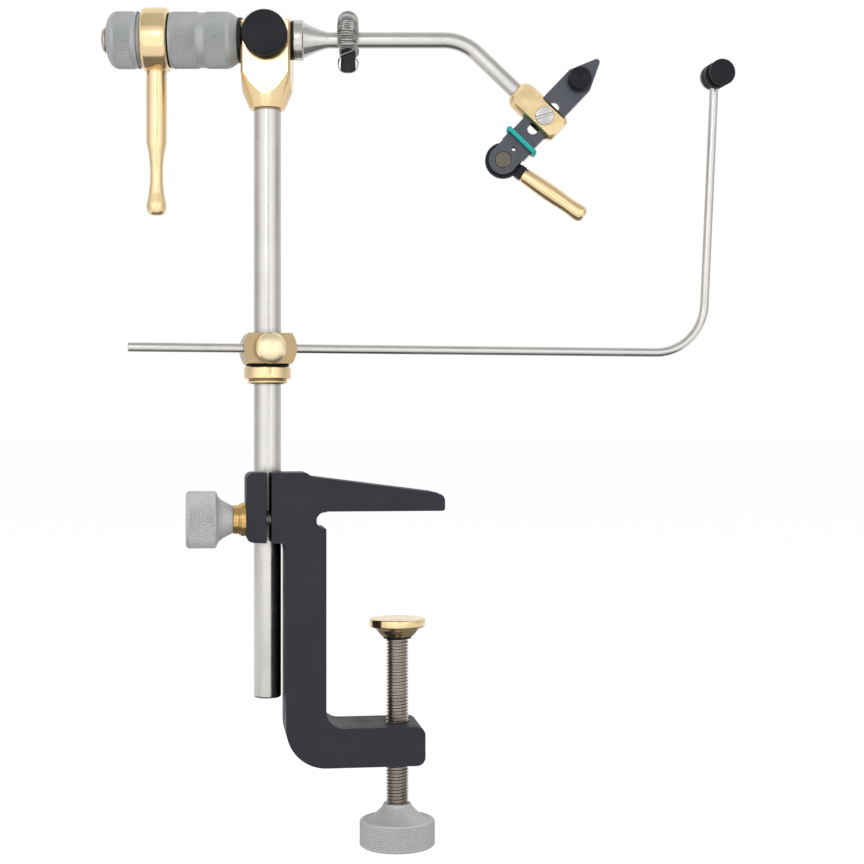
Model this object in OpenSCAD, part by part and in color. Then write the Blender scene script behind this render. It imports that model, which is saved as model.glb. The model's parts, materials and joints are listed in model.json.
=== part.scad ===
// Rotary fly tying vise on a table clamp, with a swinging bobbin cradle.
// The origin lies on the table face under the clamp's upper arm, in the plane of the stem.
// +X runs along the clamp's arms away from the stem, +Y to the back, +Z up.

/* [Clamp frame] */
// From the stem's axis to the middle of the table face
table_reach = 40; // [36:0.5:44]
// Thickness of the clamp frame from front to back
frame_w = 25.4; // [22:0.1:32]
// From the stem's axis to the back face of the clamp frame
frame_back = 10.9; // [9:0.1:13]
// Opening between the upper and the lower arm
throat_h = 75.1; // [68:0.1:100]
// From the stem's axis to the outer face of the leg
leg_off = 5.8; // [5.3:0.1:7]
// Thickness of the leg
leg_t = 13.9; // [11:0.1:18]
// Length of the upper arm from the leg's inner face
upper_len = 41.4; // [38:0.1:50]
// Height of the upper arm beside the lug
upper_root_h = 12; // [10:0.1:13]
// Height of the upper arm at its end
upper_tip_h = 6; // [5:0.1:8]
// Length of the lower arm from the leg's inner face
lower_len = 34.5; // [33:0.1:40]
// Height of the lower arm
lower_h = 13.6; // [11:0.1:18]
// Height of the stem lug above the table face
lug_rise = 13.4; // [13:0.1:16]
// Depth of the stem lug below the table face
lug_drop = 10.5; // [9:0.1:14]
// From the stem's axis to the lug's outer side
lug_side = 7.8; // [7:0.1:10]
// Width of the clamping slit
slit_w = 1.7; // [1:0.1:2.2]

/* [Clamp screw] */
// Diameter of the clamp screw
screw_d = 7.94; // [6:0.01:8.6]
// From the leg's inner face to the screw's axis
screw_reach = 26.1; // [24:0.1:28]
// Opening between the table face and the pad at rest
table_gap = 38.5; // [32:0.1:41]
// Diameter of the pad
pad_d = 19.9; // [16:0.1:24]
// Height of the pad
pad_h = 6.3; // [5:0.1:8]
// Diameter of the screw's knob
screw_knob_d = 26.8; // [22:0.1:32]
// Height of the screw's knob
screw_knob_h = 15.3; // [12:0.1:18]
// Length of the screw between the pad and the knob
screw_free = 59.2; // [58:0.1:70]

/* [Stem] */
// Diameter of the stem
stem_d = 9.525; // [8:0.005:10]
// Depth of the stem's lower end below the table face
stem_drop = 65.7; // [50:0.1:72]
// Height of the head's axis above the table face
head_h = 165.4; // [150:0.1:190]

/* [Stem lock] */
// Diameter of the lock knob
lock_knob_d = 19.9; // [16:0.1:22]
// Length of the lock knob
lock_knob_l = 16.1; // [13:0.1:20]
// Length of the brass ferrule
ferrule_l = 4.3; // [3:0.1:6]
// Diameter of the ferrule at the lug
ferrule_d = 11.6; // [10.5:0.1:13]
// Diameter of the lock screw
lock_screw_d = 4.8; // [4:0.01:5]
// Distance of the lock screw in front of the stem's axis
lock_front = 9.5; // [9.2:0.1:10.2]
// Depth of the lock screw below the table face
lock_drop = 2.7; // [1:0.1:4]

/* [Head] */
// Turn of the head round the stem, seen from above
head_turn = -8; // [-20:1:20]
// Width of the head block along the spindle
block_w = 17.2; // [15:0.1:20]
// Depth of the head block from front to back
block_d = 16.1; // [13:0.1:17.5]
// Height of the block above the spindle's axis
block_rise = 5.8; // [5.4:0.1:9]
// Depth of the block below the spindle's axis
block_drop = 24.7; // [20:0.1:28]
// Diameter of the spindle in the block
journal_d = 7.94; // [6.5:0.01:8.2]
// Diameter of the drag knob
drag_knob_d = 15.9; // [13:0.1:17]
// Thickness of the drag knob
drag_knob_t = 4.2; // [3:0.1:6]

/* [Rotary grip] */
// Diameter of the knurled grip barrel
barrel_d = 19.8; // [17:0.1:22]
// Length of the grip barrel
barrel_l = 23.8; // [20:0.1:28]
// Diameter of the crank ring
ring_d = 22.5; // [22.2:0.1:25]
// Width of the crank ring
ring_w = 9.5; // [8:0.1:12]
// Length of the crank handle below the ring
crank_l = 51.2; // [40:0.1:60]
// Diameter of the crank handle
crank_d = 7.16; // [6:0.01:8]
// Diameter of the end cap
cap_d = 20; // [17:0.1:22]
// Length of the end cap
cap_l = 12.7; // [11:0.1:15]

/* [Rotary arm] */
// Diameter of the arm's shaft
arm_d = 5.6; // [4.6:0.01:6]
// Diameter of the arm's collar beside the block
arm_collar_d = 14; // [12:0.1:16]
// From the stem's axis to the corner of the arm's centre lines
arm_corner = 68.8; // [60:0.1:80]
// Angle of the bend in the arm
arm_bend = 43.7; // [40:0.1:48]
// Radius of the bend, on the centre line
arm_bend_r = 16.8; // [14:0.1:20]
// Length from the arm's corner to the jaws' axis
arm_slant = 39.5; // [36:0.1:44]

/* [Jaw holder] */
// Length of the jaw holder
holder_l = 20.8; // [20:0.1:24]
// Diameter of the jaw holder
holder_d = 10.7; // [10.4:0.1:13]
// Length of the holder past the jaws' axis
holder_past = 7.2; // [6.8:0.1:9]
// Diameter of the slotted screw's head
slot_head_d = 6.4; // [5.6:0.1:7]

/* [Jaws] */
// Length of the jaws ahead of the holder's screw
jaw_front = 27.6; // [25:0.1:32]
// Length of the jaws from the holder's screw back to the cam pin
jaw_back = 20.9; // [20:0.1:24]
// Width of the jaws
jaw_w = 10; // [9.4:0.1:10.4]
// Thickness of each jaw
jaw_t = 2; // [1.8:0.05:2.2]
// Gap between the jaws behind the nose
jaw_gap = 0.6; // [0.5:0.02:0.7]
// Distance of the adjusting knob ahead of the holder's screw
adjust_at = 17.8; // [16.5:0.1:18.4]
// Diameter of the adjusting knob
adjust_d = 8.3; // [7:0.1:9]
// Distance of the rubber ring behind the holder's screw
o_ring_at = 11.6; // [11.4:0.1:12.2]
// Thickness of the rubber ring
o_ring_t = 1.75; // [1.4:0.05:2]
// Diameter of the cam disc
cam_d = 12.6; // [12:0.1:13.2]
// Diameter of the cam's pin
cam_pin_d = 5.6; // [4.4:0.1:6]
// Angle of the cam handle below the horizontal
cam_handle_angle = 34.5; // [30:0.5:40]
// Length of the cam handle
cam_handle_l = 26.1; // [20:0.1:32]
// Diameter of the cam handle
cam_handle_d = 6.1; // [5:0.1:7]

/* [Material clip] */
// Distance of the clip from the stem's axis
clip_at = 28.4; // [27:0.1:34]
// Outer diameter of the clip's spring coil
clip_coil_d = 7.3; // [5.8:0.1:8]
// Diameter of the spring wire
clip_wire_d = 0.45; // [0.35:0.01:0.5]
// Number of turns in the clip's spring
clip_turns = 12; // [10:1:12]
// Diameter of the plug that closes the clip
clip_plug_d = 5.3; // [4.6:0.1:6]

/* [Cradle] */
// Height of the cradle rod above the table face
cradle_h = 56.6; // [50:0.1:80]
// Turn of the cradle round the stem, seen from above
cradle_turn = 4; // [-20:1:30]
// Diameter of the cradle rod
rod_d = 3.175; // [2.5:0.005:3.5]
// Length of the rod to the left of the stem
rod_left = 48.6; // [40:0.1:60]
// Straight length of the rod to the right of the stem
rod_right = 141.4; // [135:0.1:160]
// Radius of the rod's bend, on the centre line
rod_bend_r = 19; // [15:0.5:24]
// Angle of the rod's bend
rod_bend = 87.34; // [85:0.1:90]
// Height of the rest above the cradle rod
rest_rise = 102; // [90:0.1:120]
// Diameter of the cradle block
cradle_block_d = 18.4; // [17.6:0.1:22]
// Height of the cradle block
cradle_block_h = 10.6; // [9:0.1:13]
// Diameter of the cradle's collar
collar_d = 16.5; // [15:0.1:19]
// Height of the cradle's collar
collar_h = 6.2; // [5.5:0.1:8]
// Diameter of the thumb screw's head
thumb_d = 11; // [9:0.1:13]
// Diameter of the rest's rollers
rest_d = 9.6; // [8:0.1:11]

/* [Hidden] */

// Fineness of round forms
$fn = 96;
// Overrun of cuts
over = 1;
// Radial clearance of a shaft that turns or slides in its bore
running_clear = 0.05;
// Radial clearance of pieces that are fixed in each other
fixed_clear = 0.03;
// Clearance between faces that turn or press on each other
face_clear = 0.1;
// Clearance of a screw that passes through a hole freely
free_clear = 0.3;
// A bent bar is a little thinner in its bend, which laps into the straight bars by this angle
bend_thinning = 0.01;
bend_lap_angle = 0.05;

// Colours
black_finish = [0.2, 0.2, 0.23];
brass_finish = [0.82, 0.66, 0.38];
grey_finish = [0.66, 0.67, 0.67];
steel_finish = [0.75, 0.75, 0.75];
dark_steel_finish = [0.45, 0.42, 0.38];
gunmetal_finish = [0.4, 0.39, 0.44];
teal_finish = [0.08, 0.66, 0.65];

// Radii of the main round pieces
stem_r = stem_d / 2;
screw_r = screw_d / 2;
journal_r = journal_d / 2;
arm_r = arm_d / 2;
rod_r = rod_d / 2;

// Places along the clamp, from the stem's axis
leg_in = leg_off + leg_t;
upper_end = leg_in + upper_len;
lower_end = leg_in + lower_len;
screw_at = leg_in + screw_reach;
lower_top = -throat_h;
lower_bottom = lower_top - lower_h;
frame_front = frame_w - frame_back;
frame_mid = frame_back - frame_w / 2;

// Rounds of the clamp's outline
lug_round = 2.4;
step_run = 2.1;
lug_top_end = 12.9;
upper_tip_round = 2.5;
edge_round = 1;
lower_outer_round = 14;
lower_inner_round = 6.1;
lower_tip_round = 3;
relief_r = 2.9;
relief_in = 0.5;
lug_slope = 3.6;

// Lock on the stem
lock_r = lock_screw_d / 2;
ferrule_bore_clear = 0.1;
lock_reach = 9;
lock_screw_in_knob = 9;
ferrule_shares = [[0, 0], [1, 0], [1, 0.38], [0.93, 0.42], [0.93, 0.52], [0.86, 0.58], [0.86, 1], [0, 1]];
lock_knob_shares = [[0, 0], [0.468, 0], [0.512, 0.05], [0.575, 0.13], [0.673, 0.236], [0.78, 0.31],
    [0.94, 0.352], [1, 0.375], [1, 0.945], [0.91, 1], [0, 1]];

// Clamp screw, its pad and its knob
pad_shares = [[0, 0], [0.96, 0], [1, 0.055], [1, 0.44], [0.845, 0.54], [0.745, 0.65], [0.69, 0.78],
    [0.6, 0.93], [0.56, 1], [0, 1]];
pad_floor = 2.6;
pad_ring_r = 5;
pad_ring_h = 0.7;
screw_knob_shares = [[0, 0], [0.358, 0], [0.4, 0.08], [0.5, 0.176], [0.62, 0.27], [0.784, 0.379],
    [0.84, 0.375], [0.873, 0.346], [0.96, 0.37], [1, 0.405], [1, 0.954], [0.918, 1], [0, 1]];
screw_in_knob = 11;

// Head block
block_cone_shares = [[0, 0], [0.51, 0], [0.555, 0.012], [1, 0.397], [1, 0.965], [0.925, 1], [0, 1]];
block_round_r = 11.2;
stem_socket = 17.1;
stem_top_clear = 0.1;
set_screw_r = 2;
set_screw_h = 10.5;
set_screw_sink = 0.1;
hex_socket_r = 1.15;
hex_socket_depth = 1;
drag_screw_r = 2.4;
drag_plug_t = 1;
drag_standoff = 1.2;
drag_knob_shares = [[0, 0], [0.93, 0], [1, 0.12], [1, 0.88], [0.93, 1], [0, 1]];
drag_screw_in_knob = 2.6;

// Pieces on the spindle, from the block outwards
inner_washer_t = 1.4;
inner_washer_r = 7.9;
outer_washer_t = 0.8;
outer_washer_r = 6.8;
washer_bore_clear = 0.2;
barrel_shares = [[0, 0], [0.778, 0], [0.97, 0.117], [0.97, 0.15], [1, 0.155], [1, 0.468],
    [0.965, 0.472], [0.965, 0.588], [1, 0.592], [1, 0.968], [0.97, 0.972], [0.97, 1], [0, 1]];
ring_gap = 0.4;
ring_shares = [[0, 0], [0.87, 0], [0.96, 0.04], [1, 0.14], [1, 0.86], [0.96, 0.96], [0.87, 1], [0, 1]];
cap_shares = [[0, 0], [0.93, 0], [0.93, 0.094], [1, 0.098], [1, 0.13], [0.97, 0.145], [0.97, 0.22],
    [1, 0.236], [1, 0.7], [0.965, 0.78], [0.88, 0.86], [0.76, 0.92], [0.6, 0.965], [0.4, 1], [0, 1]];
journal_short = 6.4;
end_screw_r = 2.5;
end_screw_l = 14;
end_head_r = 4.4;
end_head_shares = [[0, 0], [1, 0], [1, 0.35], [0.86, 0.78], [0.6, 1], [0, 1]];
end_head_h = 1.6;
end_socket_r = 1.8;
end_socket_depth = 1.1;

// Crank handle
crank_seat = 0.6;
crank_stud_r = 1.9;
crank_stud_l = 4;
crank_shares = [[0, 0], [0.96, 0], [1, 0.02], [1, 0.49], [0.96, 0.508], [0.87, 0.541], [0.755, 0.576],
    [0.656, 0.644], [0.615, 0.712], [0.656, 0.78], [0.768, 0.85], [0.87, 0.885], [0.955, 0.915],
    [0.985, 0.935], [0.94, 0.96], [0.8, 0.983], [0.55, 0.996], [0, 1]];

// Rotary arm
arm_collar_w = 3.2;
arm_cone_shares = [[0.74, 0], [0.41, 0.343], [0.15, 0.674], [0, 1]];
arm_cone_l = 8.6;
arm_in_holder = 7.6;

// Jaw holder
holder_shares = [[0, 0], [0.62, 0], [0.78, 0.025], [0.93, 0.085], [1, 0.16], [1, 0.93], [0.8, 1], [0, 1]];
holder_front = 3.8;
holder_slot_clear = 0.1;
holder_slot_width_clear = 0.15;
holder_screw_r = 1.7;
slot_head_h = 1.2;
slot_head_sink = 0.5;
screw_slot_w = 0.9;
screw_slot_depth = 0.6;
screw_slot_turn = 16;
holder_screw_past = 0.6;

// Jaws
nose_tip_r = 1.15;
nose_taper = 9.5;
nose_pad_l = 5;
nose_gap = 0.1;
jaw_slot_ahead = 7;
jaw_slot_behind = 7.8;
jaw_slot_r = 1.9;
jaw_end_r = 5.1;
jaw_heel_extra = 0.3;
jaw_notch_w = 2.1;
sight_hole_at = 15.5;
sight_hole_r = 0.8;
cam_t = 1.8;
cam_front_clear = 0.5;
cam_rear_clear = 0.1;
cam_side_clear = 0.3;
cam_bore_clear = 0.05;
front_pin_clear = 0.1;
fulcrum_at = 11;
fulcrum_r = 0.7;
fulcrum_l = 8;
o_ring_side_clear = 0.02;
o_ring_clear = 0.08;
o_ring_inner_bend = 0.1;
adjust_screw_r = 1.5;
adjust_t = 3.4;
adjust_shares = [[0, 0], [0.92, 0], [1, 0.12], [1, 0.8], [0.92, 1], [0, 1]];
adjust_standoff = 0.5;
adjust_in_knob = 2;

// Cam and its handle
cam_flat_at = 4.2;
cam_shank_w = 4.7;
cam_shank_t = 4.2;
cam_shank_l = 2.3;
cam_stud_r = 1.2;
cam_stud_l = 4;
cam_handle_shares = [[0, 0], [0.8, 0], [0.87, 0.03], [0.96, 0.25], [1, 0.42], [0.97, 0.55], [0.9, 0.7],
    [0.9, 0.76], [0.96, 0.86], [0.985, 0.91], [0.92, 0.955], [0.7, 0.988], [0.4, 1], [0, 1]];

// Material clip
clip_shaft_clear = 0.1;
clip_half_arc = 105;
clip_curl_rings = 8;
clip_wire_sides = 6;
clip_plug_l = 7.8;
clip_plug_clear = 0.5;
clip_plug_round = 0.8;
clip_hook_side = 0.95;
clip_hook_front = 0.55;
clip_end_sink = 0.35;
hook_end_share = 0.8;

// Cradle
cradle_block_back = 7.6;
cradle_block_front = 9.7;
rod_front_clear = 0.45;
washer_t = 0.7;
washer_r = 7.6;
collar_shares = [[0, 0], [0.94, 0], [1, 0.06], [1, 0.68], [0.93, 0.74], [0.8, 0.76], [0.8, 0.8],
    [0.85, 0.82], [0.85, 0.92], [0.78, 1], [0, 1]];
collar_screw_r = 1.6;
collar_screw_drop_share = 0.36;
thumb_screw_r = 2.4;
thumb_neck = 1.1;
thumb_head_l = 4.2;
thumb_shares = [[0, 0], [0.82, 0], [0.97, 0.1], [1, 0.25], [0.97, 0.45], [0.86, 0.66], [0.66, 0.84],
    [0.4, 0.96], [0.15, 1], [0, 1]];

// Rest at the end of the rod
rest_edge = 0.3;
hub_front = 3.7;
hub_back = 2.2;
roller_gap = 0.2;
drum_l = 2.6;
drum_r = 3.7;
flange_t = 2.2;
axle_r = 1.5;
axle_short = 1;
axle_nut_t = 1.2;
rest_washer_t = 1.1;
rest_washer_r = 4.6;
rod_top_clear = 0.3;

// Turned pieces along Z, from an outline of radius and length shares
module turned(shares, r, l) {
    rotate_extrude() polygon([for (s = shares) [s[0] * r, s[1] * l]]);
}
module bar(r, from, to) {
    translate([0, 0, from]) cylinder(r = r, h = to - from);
}
// The bend of a bar that starts along X and turns up, and the straight bar past it
module bend_up(r, at, radius, angle, past) {
    translate([at, 0, radius]) {
        to_front() rotate([0, 0, -90 - bend_lap_angle]) rotate_extrude(angle = angle + 2 * bend_lap_angle)
            translate([radius, 0]) circle(r - bend_thinning);
        rotate([0, -angle, 0]) translate([0, 0, -radius]) to_right() bar(r, 0, past);
    }
}
// Z becomes X, -X, Y or -Y
module to_right() { rotate([0, 90, 0]) children(); }
module to_left() { rotate([0, -90, 0]) children(); }
module to_back() { rotate([-90, 0, 0]) children(); }
module to_front() { rotate([90, 0, 0]) children(); }

module stem_place() { translate([-table_reach, 0, 0]) children(); }
module screw_place() { stem_place() translate([screw_at, frame_mid, 0]) children(); }
module lock_place() { stem_place() translate([0, -lock_front, -lock_drop]) children(); }
module head_place() { stem_place() translate([0, 0, head_h]) rotate([0, 0, head_turn]) children(); }
module jaw_place() {
    head_place()
        translate([arm_corner + arm_slant * cos(arm_bend), 0, -arm_slant * sin(arm_bend)])
            rotate([0, arm_bend, 0]) children();
}
module cam_place() { jaw_place() translate([0, 0, -jaw_back]) children(); }
module cradle_place() { stem_place() translate([0, 0, cradle_h]) rotate([0, 0, cradle_turn]) children(); }

// What rounding takes off a square outer corner
module round_corner(x, y, r, turn) {
    translate([x, y]) rotate(turn) difference() {
        translate([-over, -over]) square(r + over);
        translate([r, r]) circle(r);
    }
}

module frame_outline() {
    lug_low_right = -lug_drop - relief_in;
    blend_low = lug_low_right - lug_slope;
    fillet_x = leg_in + lower_inner_round;
    fillet_z = lower_top + lower_inner_round;
    difference() {
        polygon([
            [-lug_side, -lug_drop], [-lug_side, lug_rise], [lug_top_end, lug_rise],
            [lug_top_end + step_run, upper_root_h], [upper_end, upper_tip_h], [upper_end, 0],
            [leg_in, 0], [leg_in, fillet_z], [fillet_x, fillet_z], [fillet_x, lower_top],
            [lower_end, lower_top], [lower_end, lower_bottom], [leg_off, lower_bottom],
            [leg_off, blend_low], [leg_off - relief_in, lug_low_right]]);
        translate([fillet_x, fillet_z]) circle(lower_inner_round);
        round_corner(-lug_side, lug_rise, lug_round, -90);
        round_corner(-lug_side, -lug_drop, lug_round, 0);
        round_corner(upper_end, upper_tip_h, upper_tip_round, 180);
        round_corner(upper_end, 0, edge_round, 90);
        round_corner(lower_end, lower_top, lower_tip_round, 180);
        round_corner(lower_end, lower_bottom, lower_tip_round, 90);
        round_corner(leg_off, lower_bottom, lower_outer_round, 0);
        translate([leg_in - relief_in, -relief_r - relief_in / 2]) circle(relief_r);
    }
}

module clamp_frame() color(black_finish) difference() {
    stem_place() translate([0, frame_back, 0]) to_front() linear_extrude(frame_w) frame_outline();
    stem_place() bar(stem_r + running_clear, -lug_drop - over, lug_rise + over);
    stem_place() translate([-slit_w / 2, -frame_front - over, -lug_drop - over])
        cube([slit_w, frame_front + over, lug_rise + lug_drop + 2 * over]);
    lock_place() to_right() bar(lock_r + free_clear, -lug_side - over, 0);
    lock_place() to_right() bar(lock_r + running_clear, 0, lock_reach + over);
    screw_place() bar(screw_r + running_clear, lower_bottom - over, lower_top + over);
}

module lock_ferrule() color(brass_finish) difference() {
    lock_place() translate([-lug_side - face_clear, 0, 0]) to_left()
        turned(ferrule_shares, ferrule_d / 2, ferrule_l);
    lock_place() to_right() bar(lock_r + ferrule_bore_clear, -lug_side - ferrule_l - over, 0);
}

ferrule_end = lug_side + face_clear + ferrule_l;
module lock_knob() color(grey_finish) difference() {
    lock_place() translate([-ferrule_end - face_clear, 0, 0]) to_left() difference() {
        turned(lock_knob_shares, lock_knob_d / 2, lock_knob_l);
        bar(lock_r + fixed_clear, -over, lock_screw_in_knob + face_clear);
    }
}

module lock_screw() color(dark_steel_finish)
    lock_place() to_right() bar(lock_r, -ferrule_end - lock_screw_in_knob, lock_reach);

module clamp_pad() color(brass_finish) screw_place() translate([0, 0, -table_gap]) mirror([0, 0, 1])
    difference() {
        turned(pad_shares, pad_d / 2, pad_h);
        bar(screw_r + running_clear, pad_floor, pad_h + over);
    }

module pad_retaining_ring() color(black_finish) screw_place()
    translate([0, 0, -table_gap - pad_h - face_clear - pad_ring_h]) difference() {
        cylinder(r = pad_ring_r, h = pad_ring_h);
        bar(screw_r + running_clear, -over, pad_ring_h + over);
    }

screw_knob_top = -table_gap - pad_h - screw_free;
module clamp_screw() color(dark_steel_finish) screw_place()
    bar(screw_r, screw_knob_top - screw_in_knob, -table_gap - pad_floor - face_clear);

module clamp_screw_knob() color(grey_finish) screw_place() translate([0, 0, screw_knob_top])
    mirror([0, 0, 1]) difference() {
        turned(screw_knob_shares, screw_knob_d / 2, screw_knob_h);
        bar(screw_r + fixed_clear, -over, screw_in_knob + face_clear);
    }

stem_top = head_h - block_drop + stem_socket;
module stem() color(steel_finish) stem_place() bar(stem_r, -stem_drop, stem_top);

module head_block() color(brass_finish) head_place() difference() {
    intersection() {
        translate([-block_w / 2, -block_d / 2, -block_drop])
            cube([block_w, block_d, block_drop + block_rise]);
        translate([0, 0, -block_drop])
            turned(block_cone_shares, block_round_r, block_drop + block_rise);
    }
    to_right() bar(journal_r + running_clear, -block_w, block_w);
    bar(stem_r + fixed_clear, -block_drop - over, stem_socket - block_drop + stem_top_clear);
    to_front() bar(drag_screw_r + running_clear, 0, block_d);
    translate([0, 0, set_screw_h - block_drop]) to_back() bar(set_screw_r + fixed_clear, 0, block_d);
}

module head_set_screw() color(dark_steel_finish) head_place()
    translate([0, 0, set_screw_h - block_drop]) to_back() difference() {
        bar(set_screw_r, stem_r + running_clear, block_d / 2 - set_screw_sink);
        translate([0, 0, block_d / 2 - set_screw_sink - hex_socket_depth])
            cylinder(r = hex_socket_r, h = hex_socket_depth + over, $fn = 6);
    }

drag_plug_end = journal_r + face_clear + drag_plug_t;
drag_knob_back = block_d / 2 + drag_standoff;
module drag_plug() color(black_finish) head_place() to_front()
    bar(drag_screw_r, journal_r + face_clear, drag_plug_end);

module drag_screw() color(dark_steel_finish) head_place() to_front()
    bar(drag_screw_r, drag_plug_end + face_clear, drag_knob_back + drag_screw_in_knob);

module drag_knob() color(black_finish) head_place() to_front() translate([0, 0, drag_knob_back])
    difference() {
        turned(drag_knob_shares, drag_knob_d / 2, drag_knob_t);
        bar(drag_screw_r + fixed_clear, -over, drag_screw_in_knob + face_clear);
    }

// Places along the spindle, to the left of the stem
inner_washer_at = block_w / 2 + face_clear;
barrel_at = inner_washer_at + inner_washer_t;
ring_at = barrel_at + barrel_l + ring_gap;
cap_at = ring_at + ring_w;
cap_end = cap_at + cap_l;
journal_end = cap_end - journal_short;
collar_at = block_w / 2 + face_clear + outer_washer_t;
cone_at = collar_at + arm_collar_w;
bend_tangent = arm_bend_r * tan(arm_bend / 2);

module on_spindle(at) { head_place() translate([-at, 0, 0]) to_left() children(); }
module spindle_bore(l) { bar(journal_r + fixed_clear, -over, l + over); }

module inner_thrust_washer() color(black_finish) on_spindle(inner_washer_at) difference() {
    cylinder(r = inner_washer_r, h = inner_washer_t);
    bar(journal_r + washer_bore_clear, -over, inner_washer_t + over);
}

module outer_thrust_washer() color(black_finish) head_place()
    translate([collar_at - outer_washer_t, 0, 0]) to_right() difference() {
        cylinder(r = outer_washer_r, h = outer_washer_t);
        bar(journal_r + washer_bore_clear, -over, outer_washer_t + over);
    }

module grip_barrel() color(grey_finish) on_spindle(barrel_at) difference() {
    turned(barrel_shares, barrel_d / 2, barrel_l);
    spindle_bore(barrel_l);
}

module crank_ring() color(brass_finish) difference() {
    on_spindle(ring_at) difference() {
        turned(ring_shares, ring_d / 2, ring_w);
        spindle_bore(ring_w);
    }
    crank_place() {
        bar(crank_d / 2 + fixed_clear, -face_clear, ring_d);
        bar(crank_stud_r + fixed_clear, -crank_stud_l - face_clear, over);
    }
}

// The handle runs down from its seat in the ring
module crank_place() {
    head_place() translate([-ring_at - ring_w / 2, 0, crank_seat - ring_d / 2]) mirror([0, 0, 1]) children();
}
module crank_handle() color(brass_finish) crank_place() {
    turned(crank_shares, crank_d / 2, crank_l);
    bar(crank_stud_r, -crank_stud_l, over);
}

module end_cap() color(grey_finish) on_spindle(cap_at) difference() {
    turned(cap_shares, cap_d / 2, cap_l);
    bar(journal_r + fixed_clear, -over, cap_l - journal_short + face_clear);
    bar(end_screw_r + fixed_clear, 0, cap_l + over);
}

module end_screw() color(dark_steel_finish) on_spindle(cap_end) difference() {
    union() {
        turned(end_head_shares, end_head_r, end_head_h);
        bar(end_screw_r, -end_screw_l, end_head_h / 2);
    }
    translate([0, 0, end_head_h - end_socket_depth])
        cylinder(r = end_socket_r, h = end_socket_depth + over, $fn = 6);
}

// The arm is drawn bending upwards and turned over
module rotary_arm() color(steel_finish) head_place() rotate([180, 0, 0]) difference() {
    collar_r = arm_collar_d / 2;
    bend_from = arm_corner - bend_tangent;
    union() {
        to_right() rotate_extrude() polygon(concat(
            [[0, -journal_end], [journal_r, -journal_end], [journal_r, collar_at],
                [collar_r, collar_at], [collar_r, cone_at]],
            [for (s = arm_cone_shares) [arm_r + s[0] * (collar_r - arm_r), cone_at + s[1] * arm_cone_l]],
            [[arm_r, bend_from], [0, bend_from]]));
        bend_up(arm_r, bend_from, arm_bend_r, arm_bend,
            arm_slant - bend_tangent - holder_l + holder_past + arm_in_holder);
    }
    to_right() bar(end_screw_r + fixed_clear, -journal_end - over, end_screw_l - cap_end + face_clear);
}

// Jaws: X along the holder, Y to the back, Z towards the nose
holder_start = holder_past - holder_l;
jaw_half = jaw_w / 2;
jaw_out = jaw_gap / 2 + jaw_t;
module jaw_holder() color(brass_finish) jaw_place() difference() {
    translate([holder_start, 0, 0]) to_right() turned(holder_shares, holder_d / 2, holder_l);
    translate([holder_start - over, -holder_d, -holder_d])
        cube([holder_l + 2 * over, holder_d - holder_front, 2 * holder_d]);
    translate([holder_start, 0, 0]) to_right() bar(arm_r + fixed_clear, -over, arm_in_holder + face_clear);
    translate([-jaw_half - holder_slot_width_clear, -jaw_out - holder_slot_clear, -holder_d])
        cube([jaw_w + 2 * holder_slot_width_clear, 2 * (jaw_out + holder_slot_clear), 2 * holder_d]);
    to_front() bar(holder_screw_r + running_clear, -holder_d, holder_d);
    to_front() bar(slot_head_d / 2 + face_clear, holder_front - slot_head_sink, holder_d);
}

module holder_screw() color(steel_finish) jaw_place() to_front() difference() {
    union() {
        bar(slot_head_d / 2, holder_front - slot_head_sink + face_clear,
            holder_front - slot_head_sink + slot_head_h);
        bar(holder_screw_r, -holder_d / 2 + holder_screw_past, holder_front);
    }
    rotate([0, 0, screw_slot_turn + arm_bend]) translate([-slot_head_d, -screw_slot_w / 2,
        holder_front - slot_head_sink + slot_head_h - screw_slot_depth])
        cube([2 * slot_head_d, screw_slot_w, screw_slot_depth + over]);
}

module jaw_outline() {
    notch_bottom = -o_ring_at - jaw_notch_w / 2;
    difference() {
        union() {
            nose_outline();
            translate([-jaw_half, -jaw_back]) square([jaw_w, jaw_back + jaw_front - nose_taper]);
            translate([-jaw_half - jaw_heel_extra, -jaw_back + jaw_end_r])
                square([jaw_w + 2 * jaw_heel_extra, notch_bottom + jaw_back - jaw_end_r]);
            translate([0, -jaw_back]) circle(jaw_end_r);
        }
        translate([-jaw_slot_r, -jaw_slot_behind + jaw_slot_r])
            square([2 * jaw_slot_r, jaw_slot_ahead + jaw_slot_behind - 2 * jaw_slot_r]);
        translate([0, jaw_slot_ahead - jaw_slot_r]) circle(jaw_slot_r);
        translate([0, -jaw_slot_behind + jaw_slot_r]) circle(jaw_slot_r);
        translate([0, -sight_hole_at]) circle(sight_hole_r);
    }
}

// The nose narrows from the jaw's full width to a round tip
module nose_outline() {
    tip_y = jaw_front - nose_tip_r;
    start_y = jaw_front - nose_taper;
    tilt = asin((jaw_half - nose_tip_r) / norm([jaw_half, tip_y - start_y]));
    polygon([[-jaw_half, start_y], [jaw_half, start_y],
        [nose_tip_r * cos(tilt), tip_y + nose_tip_r * sin(tilt)],
        [-nose_tip_r * cos(tilt), tip_y + nose_tip_r * sin(tilt)]]);
    translate([0, tip_y]) circle(nose_tip_r);
}

// One jaw lies behind the middle plane, from its inner to its outer face
module jaw_plate(pin_clear, cam_clear) {
    difference() {
        union() {
            translate([0, jaw_out, 0]) to_front() linear_extrude(jaw_t) jaw_outline();
            translate([0, jaw_out, 0]) to_front() linear_extrude(jaw_t + (jaw_gap - nose_gap) / 2)
                intersection() {
                    jaw_outline();
                    translate([-jaw_half, jaw_front - nose_pad_l]) square([jaw_w, nose_pad_l]);
                }
        }
        translate([-fulcrum_l, 0, fulcrum_at]) to_right() bar(fulcrum_r + running_clear, 0, 2 * fulcrum_l);
        translate([0, 0, -jaw_back]) {
            to_back() bar(cam_d / 2 + cam_side_clear, 0, cam_t / 2 + cam_clear);
            to_back() bar(cam_pin_d / 2 + pin_clear, 0, jaw_out + over);
        }
    }
}

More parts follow.
